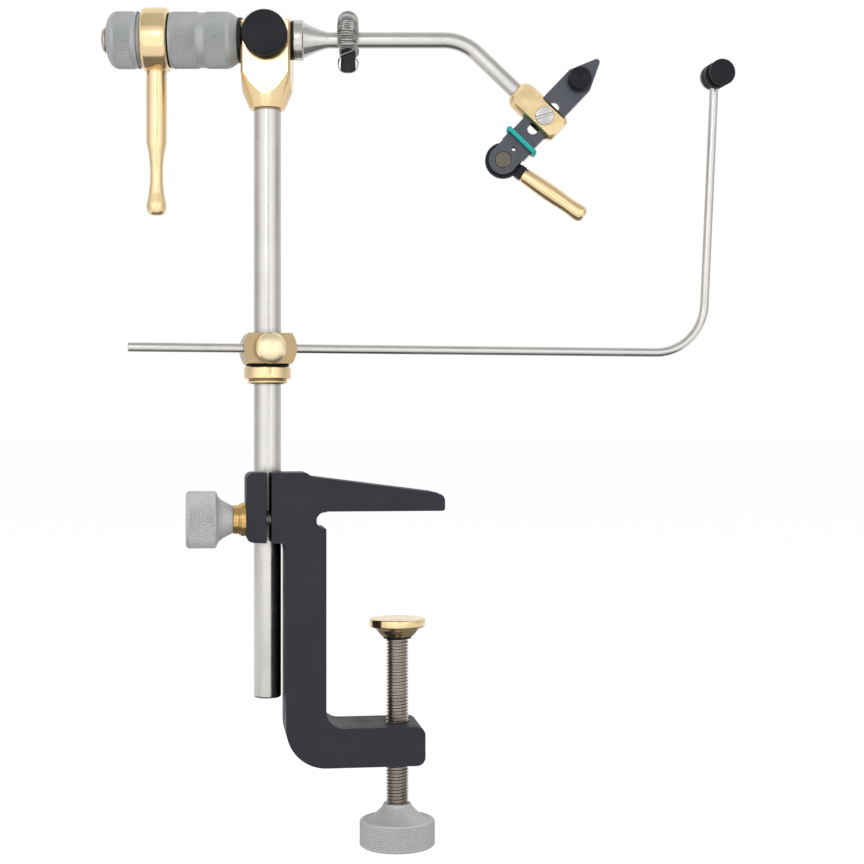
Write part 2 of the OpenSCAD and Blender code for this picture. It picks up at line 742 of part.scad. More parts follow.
module rear_jaw() color(gunmetal_finish) jaw_place() jaw_plate(fixed_clear, cam_rear_clear);

module front_jaw() color(gunmetal_finish) jaw_place() difference() {
    mirror([0, 1, 0]) jaw_plate(front_pin_clear, cam_front_clear);
    translate([0, 0, adjust_at]) to_front() bar(adjust_screw_r + running_clear, 0, jaw_out + over);
}

module fulcrum_pin() color(steel_finish) jaw_place()
    translate([-fulcrum_l / 2, 0, fulcrum_at]) to_right() bar(fulcrum_r, 0, fulcrum_l);

module adjusting_screw() color(dark_steel_finish) jaw_place() translate([0, 0, adjust_at]) to_front()
    bar(adjust_screw_r, face_clear - jaw_gap / 2, jaw_out + adjust_standoff + adjust_in_knob);

module adjusting_knob() color(black_finish) jaw_place() translate([0, 0, adjust_at]) to_front()
    translate([0, 0, jaw_out + adjust_standoff]) difference() {
        turned(adjust_shares, adjust_d / 2, adjust_t);
        bar(adjust_screw_r + fixed_clear, -over, adjust_in_knob + face_clear);
    }

// Rubber ring: four straight sides and four quarter bends round both jaws
o_ring_r = o_ring_t / 2;
o_ring_x = jaw_half + o_ring_side_clear + o_ring_r;
o_ring_y = jaw_out + o_ring_clear + o_ring_r;
o_ring_bend = o_ring_r + o_ring_inner_bend;
module jaw_o_ring() color(teal_finish) jaw_place() translate([0, 0, -o_ring_at]) {
    for (side = [-1, 1]) {
        translate([side * o_ring_x, 0, 0]) to_back()
            bar(o_ring_r, o_ring_bend - o_ring_y, o_ring_y - o_ring_bend);
        translate([0, side * o_ring_y, 0]) to_right()
            bar(o_ring_r, o_ring_bend - o_ring_x, o_ring_x - o_ring_bend);
    }
    for (quarter = [0, 1, 2, 3]) {
        corner_x = (o_ring_x - o_ring_bend) * (quarter == 0 || quarter == 3 ? 1 : -1);
        corner_y = (o_ring_y - o_ring_bend) * (quarter < 2 ? 1 : -1);
        translate([corner_x, corner_y, 0]) rotate([0, 0, 90 * quarter]) rotate_extrude(angle = 90)
            translate([o_ring_bend, 0]) circle(o_ring_r, $fn = 48);
    }
}

module cam_pin() color(dark_steel_finish) cam_place() to_back()
    bar(cam_pin_d / 2, -jaw_out - face_clear / 2, jaw_out + face_clear / 2);

// The handle's own frame turns so that Z runs along it
cam_turn = 90 + cam_handle_angle - arm_bend;
module cam_handle_place() { cam_place() rotate([0, cam_turn, 0]) children(); }
cam_r = cam_d / 2;
module cam_disc() color(black_finish) {
    difference() {
        union() {
            cam_place() to_back() bar(cam_r, -cam_t / 2, cam_t / 2);
            cam_handle_place() translate([-cam_shank_w / 2, -cam_t / 2, 0])
                cube([cam_shank_w, cam_t, cam_r + over]);
        }
        cam_place() to_back() bar(cam_pin_d / 2 + cam_bore_clear, -cam_t, cam_t);
        cam_place() translate([-cam_d, -cam_t, cam_flat_at]) cube([2 * cam_d, 2 * cam_t, cam_d]);
    }
    cam_handle_place() {
        translate([-cam_shank_w / 2, -cam_shank_t / 2, cam_r])
            cube([cam_shank_w, cam_shank_t, cam_shank_l]);
        bar(cam_stud_r, cam_r, cam_r + cam_shank_l + cam_stud_l);
    }
}

module cam_handle() color(brass_finish) cam_handle_place() translate([0, 0, cam_r + cam_shank_l])
    difference() {
        turned(cam_handle_shares, cam_handle_d / 2, cam_handle_l);
        bar(cam_stud_r + fixed_clear, -over, cam_stud_l + face_clear);
    }

// Material clip: a coil spring bent round the arm, its end hooks held by a plug
wire_r = clip_wire_d / 2;
coil_r = clip_coil_d / 2 - wire_r;
clip_ring_r = arm_r + clip_shaft_clear + clip_coil_d / 2;
plug_r = clip_plug_d / 2;
plug_top = -arm_r - clip_plug_clear;
plug_mid = plug_top - clip_plug_l / 2;
// A point of the coil: X along the arm, Y to the back, Z up
function coil_point(t) =
    let (a = (2 * t - 1) * clip_half_arc, turn = 360 * clip_turns * t,
        out = clip_ring_r - coil_r * cos(turn))
    [coil_r * sin(turn), out * sin(a), out * cos(a)];
hook_out = plug_r + clip_hook_side * wire_r * 2;
function hook(side) = [
    [side * hook_out, side * (plug_r * clip_hook_front + wire_r), plug_mid - plug_r],
    [side * hook_out, side * (plug_r + wire_r * 2), plug_mid + plug_r * clip_hook_front],
    [0, side * (clip_ring_r - coil_r / 2), plug_top - wire_r * 2]];
function hook_end(side) = [side * (plug_r - clip_end_sink) * hook_end_share, 0, plug_mid - plug_r];
coil_steps = clip_turns * clip_curl_rings;
clip_path = concat([hook_end(-1)], hook(-1), [for (i = [0 : coil_steps]) coil_point(i / coil_steps)],
    [for (i = [2 : -1 : 0]) hook(1)[i]], [hook_end(1)]);
function unit(v) = v / norm(v);
function way(path, i) = unit(path[min(i + 1, len(path) - 1)] - path[max(i - 1, 0)]);
function square_to(n, t) = unit(n - (n * t) * t);
module wire(path, r, sides) {
    last = len(path) - 1;
    ways = [for (i = [0 : last]) way(path, i)];
    normals = [for (i = 0, n = square_to([0, 0, 1], ways[0]); i <= last;
        i = i + 1, n = i <= last ? square_to(n, ways[i]) : n) n];
    points = [for (i = [0 : last], k = [0 : sides - 1])
        let (a = 360 * k / sides, b = cross(ways[i], normals[i]))
        path[i] + r * (cos(a) * normals[i] + sin(a) * b)];
    walls = [for (i = [0 : last - 1], k = [0 : sides - 1])
        let (m = (k + 1) % sides, low = i * sides, high = low + sides)
        each [[low + k, high + m, low + m], [low + k, high + k, high + m]]];
    caps = [for (k = [1 : sides - 2])
        each [[0, k, k + 1], [last * sides, last * sides + k + 1, last * sides + k]]];
    polyhedron(points = points, faces = concat(walls, caps), convexity = 10);
}
clip_least = min([for (i = [0 : len(clip_path) - 1], k = [i + clip_curl_rings - 1 : 1 : len(clip_path) - 1])
    norm(clip_path[i] - clip_path[k])]) - clip_wire_d;
echo(clip_spring_least_gap = clip_least);

module clip_spring() color(steel_finish) head_place() translate([clip_at, 0, 0])
    wire(clip_path, wire_r, clip_wire_sides);

module clip_plug() color(black_finish) head_place() translate([clip_at, 0, plug_top]) mirror([0, 0, 1])
    rotate_extrude() polygon([[0, 0], [plug_r, 0], [plug_r, clip_plug_l - clip_plug_round],
        [plug_r - clip_plug_round / 2, clip_plug_l - clip_plug_round / 4],
        [plug_r - clip_plug_round, clip_plug_l], [0, clip_plug_l]]);

// Cradle: X along the rod, Y to the back, Z up from the rod's height
rod_y = -stem_r - rod_front_clear - rod_r;
module cradle_block() color(brass_finish) cradle_place() difference() {
    intersection() {
        to_front() translate([0, 0, -cradle_block_back])
            cylinder(r = cradle_block_d / 2, h = cradle_block_back + cradle_block_front);
        translate([-cradle_block_d, -cradle_block_d, -cradle_block_h / 2])
            cube([2 * cradle_block_d, 2 * cradle_block_d, cradle_block_h]);
    }
    bar(stem_r + running_clear, -cradle_block_h, cradle_block_h);
    translate([0, rod_y, 0]) to_right() bar(rod_r + running_clear, -cradle_block_d, cradle_block_d);
    to_front() bar(thumb_screw_r + running_clear, -rod_y, cradle_block_d);
}

thumb_tip = -rod_y + rod_r + face_clear;
thumb_seat = cradle_block_front + thumb_neck;
module cradle_thumb_screw() color(brass_finish) cradle_place() to_front() {
    bar(thumb_screw_r, thumb_tip, thumb_seat + face_clear);
    translate([0, 0, thumb_seat]) turned(thumb_shares, thumb_d / 2, thumb_head_l);
}

collar_washer_top = -cradle_block_h / 2 - face_clear;
collar_top = collar_washer_top - washer_t;
module collar_washer() color(black_finish) cradle_place() difference() {
    bar(washer_r, collar_top, collar_washer_top);
    bar(stem_r + washer_bore_clear, -cradle_block_d, cradle_block_d);
}

module cradle_collar() color(brass_finish) cradle_place() difference() {
    translate([0, 0, collar_top]) mirror([0, 0, 1]) turned(collar_shares, collar_d / 2, collar_h);
    bar(stem_r + running_clear, -cradle_block_d, cradle_block_d);
    collar_screw_place() bar(collar_screw_r + fixed_clear, 0, collar_d);
}
module collar_screw_place() {
    translate([0, 0, collar_top - collar_h * collar_screw_drop_share]) to_back() children();
}
module collar_set_screw() color(dark_steel_finish) cradle_place() collar_screw_place() difference() {
    bar(collar_screw_r, stem_r + running_clear, collar_d / 2 - set_screw_sink);
    translate([0, 0, collar_d / 2 - set_screw_sink - hex_socket_depth])
        cylinder(r = collar_screw_r / 2, h = hex_socket_depth + over, $fn = 6);
}

rod_lean = 90 - rod_bend;
rod_foot = rod_right + rod_bend_r * sin(rod_bend);
rod_foot_h = rod_bend_r * (1 - cos(rod_bend));
rest_x = rod_foot + (rest_rise - rod_foot_h) * tan(rod_lean);
rod_top_len = (rest_rise - rod_foot_h) / cos(rod_lean) - axle_r - rod_top_clear;
module cradle_rod() color(steel_finish) cradle_place() translate([0, rod_y, 0]) {
    to_right() bar(rod_r, -rod_left, rod_right);
    bend_up(rod_r, rod_right, rod_bend_r, rod_bend, rod_top_len);
}

module rest_place() { cradle_place() translate([rest_x, rod_y, rest_rise]) to_front() children(); }
module rest_disc(from, to) {
    r = rest_d / 2;
    translate([0, 0, from]) rotate_extrude() polygon([[0, 0], [r - rest_edge, 0], [r, rest_edge],
        [r, to - from - rest_edge], [r - rest_edge, to - from], [0, to - from]]);
}
roller_back = hub_front + roller_gap;
flange_back = roller_back + drum_l;
module rest_hub() color(black_finish) difference() {
    rest_place() difference() {
        rest_disc(-hub_back, hub_front);
        bar(axle_r + fixed_clear, -rest_d, rest_d);
    }
    cradle_place() translate([rest_x, rod_y, rest_rise]) rotate([0, rod_lean, 0])
        bar(rod_r + fixed_clear, -rest_d, -axle_r - fixed_clear);
}

module rest_roller() color(black_finish) rest_place() difference() {
    union() {
        bar(drum_r, roller_back, flange_back + over / 2);
        rest_disc(flange_back, flange_back + flange_t);
    }
    bar(axle_r + running_clear, 0, flange_back + flange_t - axle_short + face_clear);
}

module roller_screw() color(steel_finish) rest_place() {
    bar(axle_r, -hub_back - rest_washer_t, flange_back + flange_t - axle_short);
    bar(axle_r * 2, -hub_back - rest_washer_t - axle_nut_t, -hub_back - rest_washer_t);
}

module roller_washer() color(steel_finish) rest_place() difference() {
    bar(rest_washer_r, -hub_back - rest_washer_t + fixed_clear, -hub_back);
    bar(axle_r + fixed_clear, -rest_d, rest_d);
}

clamp_frame();
lock_ferrule();
lock_knob();
lock_screw();
clamp_pad();
pad_retaining_ring();
clamp_screw();
clamp_screw_knob();
stem();
head_block();
head_set_screw();
drag_plug();
drag_knob();
drag_screw();
rotary_arm();
inner_thrust_washer();
outer_thrust_washer();
grip_barrel();
crank_ring();
crank_handle();
end_cap();
end_screw();
jaw_holder();
clip_spring();
clip_plug();
rear_jaw();
front_jaw();
jaw_o_ring();
fulcrum_pin();
adjusting_knob();
adjusting_screw();
cam_disc();
cam_handle();
cam_pin();
holder_screw();
cradle_collar();
collar_washer();
collar_set_screw();
cradle_block();
cradle_thumb_screw();
cradle_rod();
rest_hub();
rest_roller();
roller_screw();
roller_washer();
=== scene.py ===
import json
from math import atan2, cos, hypot, radians, sin, tau

import bmesh
import bpy
from mathutils import Matrix, Vector


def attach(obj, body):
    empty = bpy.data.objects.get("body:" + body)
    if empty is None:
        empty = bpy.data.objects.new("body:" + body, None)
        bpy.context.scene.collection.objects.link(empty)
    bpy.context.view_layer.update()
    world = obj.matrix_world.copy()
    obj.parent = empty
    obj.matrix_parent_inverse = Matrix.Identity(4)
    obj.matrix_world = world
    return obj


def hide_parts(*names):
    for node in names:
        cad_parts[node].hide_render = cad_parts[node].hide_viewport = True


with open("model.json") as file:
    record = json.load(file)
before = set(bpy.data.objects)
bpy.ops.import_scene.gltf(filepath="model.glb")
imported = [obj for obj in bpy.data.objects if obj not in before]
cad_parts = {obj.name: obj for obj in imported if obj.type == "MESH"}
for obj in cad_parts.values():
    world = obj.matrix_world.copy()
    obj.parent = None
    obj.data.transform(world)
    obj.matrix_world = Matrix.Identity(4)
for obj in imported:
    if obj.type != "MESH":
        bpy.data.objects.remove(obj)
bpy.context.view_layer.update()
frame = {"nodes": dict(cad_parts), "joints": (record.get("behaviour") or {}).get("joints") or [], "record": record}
print("frame loaded:", len(frame["nodes"]), "nodes")

mm = 0.001
nodes = frame["nodes"]
record = frame["record"]
axes = {joint["name"]: Vector(joint["axis"]).normalized() for joint in frame["joints"]}
bodyOf = {node: body for body, held in record["behaviour"]["bodies"].items() for node in held}

up = Vector((0, 0, 1))
spindleRight = axes["rotor_spin"]
headFront = axes["drag_knob_turn"]
lockOut = axes["lock_knob_turn"]
jawUp = axes["jaw_slide"]
jawRight = axes["front_jaw_tilt"]
jawFront = axes["adjusting_knob_turn"]
rodRight = axes["rod_slide"]
cradleFront = axes["thumb_screw_turn"]
sharpEdge = radians(31)


# shader groups: each puts out values that change over the surface


def newGroup(name, inputs, outputs):
    group = bpy.data.node_groups.new(name, "ShaderNodeTree")
    group.interface.new_socket(name="Vector", in_out="INPUT", socket_type="NodeSocketVector")
    for label, value in inputs.items():
        socket = group.interface.new_socket(name=label, in_out="INPUT", socket_type="NodeSocketFloat")
        socket.default_value = value
    for label in outputs:
        group.interface.new_socket(name=label, in_out="OUTPUT", socket_type="NodeSocketFloat")
    return group, group.nodes.new("NodeGroupInput"), group.nodes.new("NodeGroupOutput")


def addNode(tree, kind, settings=None, **values):
    node = tree.nodes.new(kind)
    for label, value in (settings or {}).items():
        setattr(node, label, value)
    for label, value in values.items():
        socket = node.inputs[int(label[1:])] if label[1:].isdigit() else node.inputs[label]
        if isinstance(value, bpy.types.NodeSocket):
            tree.links.new(value, socket)
        else:
            socket.default_value = value
    return node


def sums(tree, operation, first, second=0.0, clamp=False):
    return addNode(tree, "ShaderNodeMath", {"operation": operation, "use_clamp": clamp}, i0=first, i1=second).outputs[0]


# fine rings left by the lathe: they follow the radius and the height, not the angle
turnedRings, given, result = newGroup("turnedRings", {"Rings per m": 9000.0}, ["Lines"])
split = addNode(turnedRings, "ShaderNodeSeparateXYZ", Vector=given.outputs["Vector"])
acrossSquare = sums(turnedRings, "MULTIPLY", split.outputs[0], split.outputs[0])
alongSquare = sums(turnedRings, "MULTIPLY", split.outputs[1], split.outputs[1])
radius = sums(turnedRings, "SQRT", sums(turnedRings, "ADD", acrossSquare, alongSquare))
rings = sums(turnedRings, "ADD", radius, split.outputs[2])
ringPlace = sums(turnedRings, "MULTIPLY", rings, given.outputs["Rings per m"])
ringNoise = addNode(turnedRings, "ShaderNodeTexNoise", {"noise_dimensions": "1D"}, W=ringPlace, Scale=1.0, Detail=3.0)
turnedRings.links.new(ringNoise.outputs[0], result.inputs["Lines"])

# long scratches left along a ground or brushed face
brushMarks, given, result = newGroup("brushMarks", {"Across per m": 6000.0, "Along per m": 120.0}, ["Lines"])
split = addNode(brushMarks, "ShaderNodeSeparateXYZ", Vector=given.outputs["Vector"])
stretched = addNode(
    brushMarks,
    "ShaderNodeCombineXYZ",
    X=sums(brushMarks, "MULTIPLY", split.outputs[0], given.outputs["Across per m"]),
    Y=sums(brushMarks, "MULTIPLY", split.outputs[1], given.outputs["Across per m"]),
    Z=sums(brushMarks, "MULTIPLY", split.outputs[2], given.outputs["Along per m"]),
)
brushNoise = addNode(brushMarks, "ShaderNodeTexNoise", Vector=stretched.outputs[0], Scale=1.0, Detail=3.0)
brushMarks.links.new(brushNoise.outputs[0], result.inputs["Lines"])

# the grain of a coat, a blasted face or a moulded skin
coatGrain, given, result = newGroup("coatGrain", {"Grains per m": 2500.0}, ["Lines"])
coatNoise = addNode(
    coatGrain, "ShaderNodeTexNoise", Vector=given.outputs["Vector"], Scale=given.outputs["Grains per m"], Detail=2.0
)
coatGrain.links.new(coatNoise.outputs[0], result.inputs["Lines"])

# broad unevenness of handling and plating
clouding, given, result = newGroup("clouding", {"Clouds per m": 90.0}, ["Clouds"])
cloudNoise = addNode(
    clouding, "ShaderNodeTexNoise", Vector=given.outputs["Vector"], Scale=given.outputs["Clouds per m"], Detail=4.0
)
spread = addNode(clouding, "ShaderNodeMapRange", Value=cloudNoise.outputs[0])
spread.inputs["From Min"].default_value = 0.35
spread.inputs["From Max"].default_value = 0.65
clouding.links.new(spread.outputs[0], result.inputs["Clouds"])

# painted shade: ambient occlusion darkens the colour and the specular in slots, knurls, thread roots and where parts
# stand close; the value is 0 deep in them and 1 in the open
paintedShade = {"reach": 2.0, "hidden": 0.1, "open": 0.75, "left": 0.12, "samples": 8}
paintedCreviceShade, given, result = newGroup("paintedCreviceShade", {"Reach": paintedShade["reach"] * mm}, ["Clear"])
creviceShade = addNode(paintedCreviceShade, "ShaderNodeAmbientOcclusion", {"samples": paintedShade["samples"]})
paintedCreviceShade.links.new(given.outputs["Reach"], creviceShade.inputs["Distance"])
clear = addNode(paintedCreviceShade, "ShaderNodeMapRange", Value=creviceShade.outputs["AO"])
clear.inputs["From Min"].default_value = paintedShade["hidden"]
clear.inputs["From Max"].default_value = paintedShade["open"]
paintedCreviceShade.links.new(clear.outputs[0], result.inputs["Clear"])

# how marks and clouds share the wear, over which of it the gloss changes, and how far rings spread the light
wear = {"cloudsPerM": 110.0, "share": 0.5, "from": 0.25, "to": 0.75, "fan": 0.5}

# colours are linear; the shade reach is how far in mm the ambient occlusion looks for a wall before it paints the
# colour darker; grain is how many marks a metre holds, relief how deep they are in mm
finishes = {
    # painted shade: the coat reaches 6 mm for walls, so the clamp's slit and the faces close to other parts are painted
    # dark
    "blackCoat": {
        "pale": (0.034, 0.035, 0.043), "deep": (0.026, 0.0268, 0.034), "metallic": 0.0, "rough": (0.4, 0.56),
        "specular": 0.09, "creviceShade": 6.0,
        "group": coatGrain, "marks": {"Grains per m": 2600.0}, "relief": 0.02, "strength": 0.5,
    },
    "satinBrass": {
        "pale": (0.85, 0.66, 0.39), "deep": (0.78, 0.585, 0.315), "metallic": 1.0, "rough": (0.15, 0.25),
        "specular": 0.5,
        "group": brushMarks, "marks": {"Across per m": 5200.0, "Along per m": 260.0}, "relief": 0.003, "strength": 0.3,
    },
    # painted shade: a darker copy of the satin brass, for the cradle block
    "shadedDullBrass": {
        "pale": (0.47, 0.35, 0.195), "deep": (0.39, 0.285, 0.15), "metallic": 1.0, "rough": (0.27, 0.38),
        "specular": 0.5,
        "group": brushMarks, "marks": {"Across per m": 5200.0, "Along per m": 260.0}, "relief": 0.003, "strength": 0.3,
    },
    # painted shade: a deeper copy of the brass for the lock ferrule, in place of the dark reflections it shows
    "shadedGoldBrass": {
        "pale": (0.66, 0.44, 0.17), "deep": (0.52, 0.33, 0.12), "metallic": 1.0, "rough": (0.14, 0.24), "specular": 0.5,
        "group": turnedRings, "marks": {"Rings per m": 5200.0}, "relief": 0.004, "strength": 0.3,
    },
    # painted light: a paler copy of the brass, so that the thumb screw's dome looks brightly lit
    "litSoftBrass": {
        "pale": (0.93, 0.80, 0.54), "deep": (0.88, 0.73, 0.46), "metallic": 1.0, "rough": (0.3, 0.4), "specular": 0.5,
        "group": turnedRings, "marks": {"Rings per m": 5200.0}, "relief": 0.004, "strength": 0.3,
    },
    "turnedBrass": {
        "pale": (0.85, 0.665, 0.40), "deep": (0.78, 0.59, 0.32), "metallic": 1.0, "rough": (0.13, 0.23),
        "specular": 0.5,
        "group": turnedRings, "marks": {"Rings per m": 5200.0}, "relief": 0.004, "strength": 0.3,
    },
    "blastedGrey": {
        "pale": (0.40, 0.41, 0.41), "deep": (0.33, 0.34, 0.34), "metallic": 0.35, "rough": (0.42, 0.56),
        "specular": 0.4,
        "group": coatGrain, "marks": {"Grains per m": 3800.0}, "relief": 0.012, "strength": 0.35,
    },
    "paleGrey": {
        "pale": (0.52, 0.53, 0.53), "deep": (0.43, 0.44, 0.44), "metallic": 0.35, "rough": (0.42, 0.56),
        "specular": 0.4,
        "group": coatGrain, "marks": {"Grains per m": 3800.0}, "relief": 0.012, "strength": 0.35,
    },
    # painted shade: the bars reach 6 mm for walls, so the stem seen through the clamp's slit and the bars near other
    # parts are painted dark
    "brushedSteel": {
        "pale": (0.62, 0.605, 0.585), "deep": (0.54, 0.525, 0.505), "metallic": 1.0, "rough": (0.18, 0.28),
        "specular": 0.5, "creviceShade": 6.0,
        "group": brushMarks, "marks": {"Across per m": 4200.0, "Along per m": 160.0}, "relief": 0.003, "strength": 0.3,
    },
    "turnedSteel": {
        "pale": (0.66, 0.645, 0.63), "deep": (0.55, 0.54, 0.525), "metallic": 1.0, "rough": (0.16, 0.28),
        "specular": 0.5,
        "group": turnedRings, "marks": {"Rings per m": 5200.0}, "relief": 0.004, "strength": 0.3,
    },
    "springSteel": {
        "pale": (0.50, 0.49, 0.475), "deep": (0.38, 0.37, 0.36), "metallic": 1.0, "rough": (0.24, 0.36),
        "specular": 0.5,
        "group": brushMarks, "marks": {"Across per m": 4200.0, "Along per m": 900.0}, "relief": 0.003, "strength": 0.3,
    },
    "darkPin": {
        "pale": (0.17, 0.155, 0.125), "deep": (0.075, 0.07, 0.058), "metallic": 0.8, "rough": (0.34, 0.5),
        "specular": 0.4,
        "group": coatGrain, "marks": {"Grains per m": 2200.0}, "relief": 0.03, "strength": 0.8,
    },
    "screwSteel": {
        "pale": (0.60, 0.53, 0.47), "deep": (0.45, 0.395, 0.345), "metallic": 1.0, "rough": (0.26, 0.42),
        "specular": 0.5,
        "group": turnedRings, "marks": {"Rings per m": 3600.0}, "relief": 0.004, "strength": 0.3,
    },
    "gunmetal": {
        "pale": (0.088, 0.091, 0.108), "deep": (0.066, 0.069, 0.084), "metallic": 0.7, "rough": (0.3, 0.44),
        "specular": 0.3,
        "group": brushMarks, "marks": {"Across per m": 3800.0, "Along per m": 300.0}, "relief": 0.004, "strength": 0.35,
    },
    "blackAnodised": {
        "pale": (0.016, 0.0165, 0.020), "deep": (0.009, 0.0095, 0.012), "metallic": 0.35, "rough": (0.3, 0.44),
        "specular": 0.2, "fan": 0.9,
        "group": turnedRings, "marks": {"Rings per m": 2600.0}, "relief": 0.016, "strength": 0.7,
    },
    "blackOxide": {
        "pale": (0.018, 0.0175, 0.020), "deep": (0.010, 0.010, 0.012), "metallic": 0.4, "rough": (0.3, 0.46),
        "specular": 0.2,
        "group": brushMarks, "marks": {"Across per m": 3200.0, "Along per m": 260.0}, "relief": 0.006, "strength": 0.4,
    },
    "nylon": {
        "pale": (0.014, 0.014, 0.016), "deep": (0.008, 0.008, 0.009), "metallic": 0.0, "rough": (0.4, 0.55),
        "specular": 0.2,
        "group": turnedRings, "marks": {"Rings per m": 2400.0}, "relief": 0.008, "strength": 0.4,
    },
    "blackRubber": {
        "pale": (0.017, 0.017, 0.022), "deep": (0.009, 0.009, 0.012), "metallic": 0.0, "rough": (0.5, 0.68),
        "specular": 0.3,
        "group": coatGrain, "marks": {"Grains per m": 3000.0}, "relief": 0.015, "strength": 0.5,
    },
    "tealRubber": {
        "pale": (0.006, 0.40, 0.38), "deep": (0.003, 0.30, 0.285), "metallic": 0.0, "rough": (0.38, 0.52),
        "specular": 0.35,
        "group": coatGrain, "marks": {"Grains per m": 2600.0}, "relief": 0.015, "strength": 0.4,
    },
}


def madeFinish(kind, place, name):
    # a finish whose marks are centred on one piece and lie along its own Z
    look = finishes[kind]
    material = bpy.data.materials.new(f"{kind}_{name}")
    material.use_nodes = True
    tree = material.node_tree
    shader = tree.nodes["Principled BSDF"]
    spots = addNode(tree, "ShaderNodeTexCoord")
    mapping = addNode(tree, "ShaderNodeMapping", {"vector_type": "TEXTURE"}, Vector=spots.outputs["Object"])
    mapping.inputs["Location"].default_value = place.to_translation()
    mapping.inputs["Rotation"].default_value = place.to_euler()
    marks = addNode(tree, "ShaderNodeGroup", {"node_tree": look["group"]}, Vector=mapping.outputs[0])
    for label, value in look["marks"].items():
        marks.inputs[label].default_value = value
    clouds = addNode(tree, "ShaderNodeGroup", {"node_tree": clouding}, Vector=mapping.outputs[0])
    clouds.inputs["Clouds per m"].default_value = wear["cloudsPerM"]
    worn = sums(tree, "MULTIPLY_ADD", marks.outputs["Lines"], wear["share"])
    worn.node.inputs[2].default_value = 0.0
    tree.links.new(sums(tree, "MULTIPLY", clouds.outputs["Clouds"], 1 - wear["share"]), worn.node.inputs[2])
    tint = addNode(tree, "ShaderNodeMix", {"data_type": "RGBA"}, Factor=worn)
    tint.inputs[6].default_value = (*look["deep"], 1)
    tint.inputs[7].default_value = (*look["pale"], 1)
    # painted shade: ambient occlusion pulls the base colour towards a fraction of the deep colour, and lowers the
    # specular, in crevices and near other parts
    creviceShade = addNode(tree, "ShaderNodeGroup", {"node_tree": paintedCreviceShade})
    creviceShade.inputs["Reach"].default_value = look.get("creviceShade", paintedShade["reach"]) * mm
    creviceShadedColour = addNode(tree, "ShaderNodeMix", {"data_type": "RGBA"}, Factor=creviceShade.outputs["Clear"])
    creviceShadedColour.inputs[6].default_value = tuple(paintedShade["left"] * part for part in look["deep"]) + (1,)
    tree.links.new(tint.outputs[2], creviceShadedColour.inputs[7])
    tree.links.new(creviceShadedColour.outputs[2], shader.inputs["Base Color"])
    creviceShadedSpecular = addNode(tree, "ShaderNodeMath", {"operation": "MULTIPLY"}, i0=creviceShade.outputs["Clear"])
    creviceShadedSpecular.inputs[1].default_value = look["specular"]
    tree.links.new(creviceShadedSpecular.outputs[0], shader.inputs["Specular IOR Level"])
    gloss = addNode(tree, "ShaderNodeMapRange", Value=worn)
    gloss.inputs["From Min"].default_value = wear["from"]
    gloss.inputs["From Max"].default_value = wear["to"]
    gloss.inputs["To Min"].default_value = look["rough"][0]
    gloss.inputs["To Max"].default_value = look["rough"][1]
    tree.links.new(gloss.outputs[0], shader.inputs["Roughness"])
    relief = addNode(tree, "ShaderNodeBump", Height=marks.outputs["Lines"])
    relief.inputs["Strength"].default_value = look["strength"]
    relief.inputs["Distance"].default_value = look["relief"] * mm
    tree.links.new(relief.outputs[0], shader.inputs["Normal"])
    if look["group"] is turnedRings:
        # the lathe's rings spread the light out from the middle
        outward = addNode(tree, "ShaderNodeVectorMath", {"operation": "MULTIPLY"}, i0=mapping.outputs[0])
        outward.inputs[1].default_value = (1, 1, 0)
        across = addNode(tree, "ShaderNodeVectorRotate", {"rotation_type": "EULER_XYZ"}, Vector=outward.outputs[0])
        across.inputs["Rotation"].default_value = place.to_euler()
        fan = addNode(tree, "ShaderNodeVectorTransform", {"vector_type": "VECTOR", "convert_from": "OBJECT",
                         "convert_to": "WORLD"}, Vector=across.outputs[0])
        tree.links.new(fan.outputs[0], shader.inputs["Tangent"])
        shader.inputs["Anisotropic"].default_value = look.get("fan", wear["fan"])
    shader.inputs["Metallic"].default_value = look["metallic"]
    material.diffuse_color = (*look["pale"], 1)
    return material


# modelling: a line is a list of (radius, height) in mm, turned round Z


def seat(node, way):
    # the middle line of a CAD node from its low end, its length in mm and its radius in mm
    turn = way.to_track_quat("Z", "Y").to_matrix().to_4x4()
    back = turn.inverted()
    spots = [back @ v.co for v in nodes[node].data.vertices]
    low, high = (Vector([pick(s[i] for s in spots) for i in range(3)]) for pick in (min, max))
    middle = (low + high) / 2
    return turn @ Matrix.Translation((middle.x, middle.y, low.z)), (high.z - low.z) / mm, (high.x - low.x) / 2 / mm


def framed(place, right, front, above):
    # a piece's own frame from three directions
    turn = Matrix((right, front, above)).transposed().to_4x4()
    return Matrix.Translation(place) @ turn


def scaled(shares, radius, length, start=0.0):
    return [(r * radius, start + z * length) for r, z in shares]


def filleted(line, size):
    # rounds the inner corners of a line
    rounded = [line[0]]
    for before, corner, after in zip(line, line[1:], line[2:]):
        before, corner, after = Vector(before), Vector(corner), Vector(after)
        back, ahead = before - corner, after - corner
        if back.length < 1e-6 or ahead.length < 1e-6:
            continue
        start = corner + back.normalized() * min(size, back.length * 0.45)
        end = corner + ahead.normalized() * min(size, ahead.length * 0.45)
        for share in (0, 0.35, 0.65, 1):
            rounded.append(tuple(start.lerp(corner, share).lerp(corner.lerp(end, share), share)))
    return rounded + [line[-1]]


def turned(line, sides=96, closed=False):
    bm = bmesh.new()
    spots = [bm.verts.new((r * mm, 0, z * mm)) for r, z in line]
    edges = [bm.edges.new(pair) for pair in zip(spots, spots[1:])]
    if closed:
        edges.append(bm.edges.new((spots[-1], spots[0])))
    bmesh.ops.spin(bm, geom=spots + edges, cent=(0, 0, 0), axis=(0, 0, 1), angle=tau, steps=sides, use_merge=True)
    bmesh.ops.remove_doubles(bm, verts=bm.verts, dist=0.0005 * mm)
    return bm


def wave(turn):
    return 1 - abs(2 * (turn % 1) - 1)


def drumRows(knurl):
    # rows a quarter of a diamond apart, so that each peak and groove has its own
    count = max(4, round((knurl["to"] - knurl["from"]) / knurl["pitch"] * 4))
    step = (knurl["to"] - knurl["from"]) / count
    return [(knurl["radius"], knurl["from"] + step * row) for row in range(count + 1)]


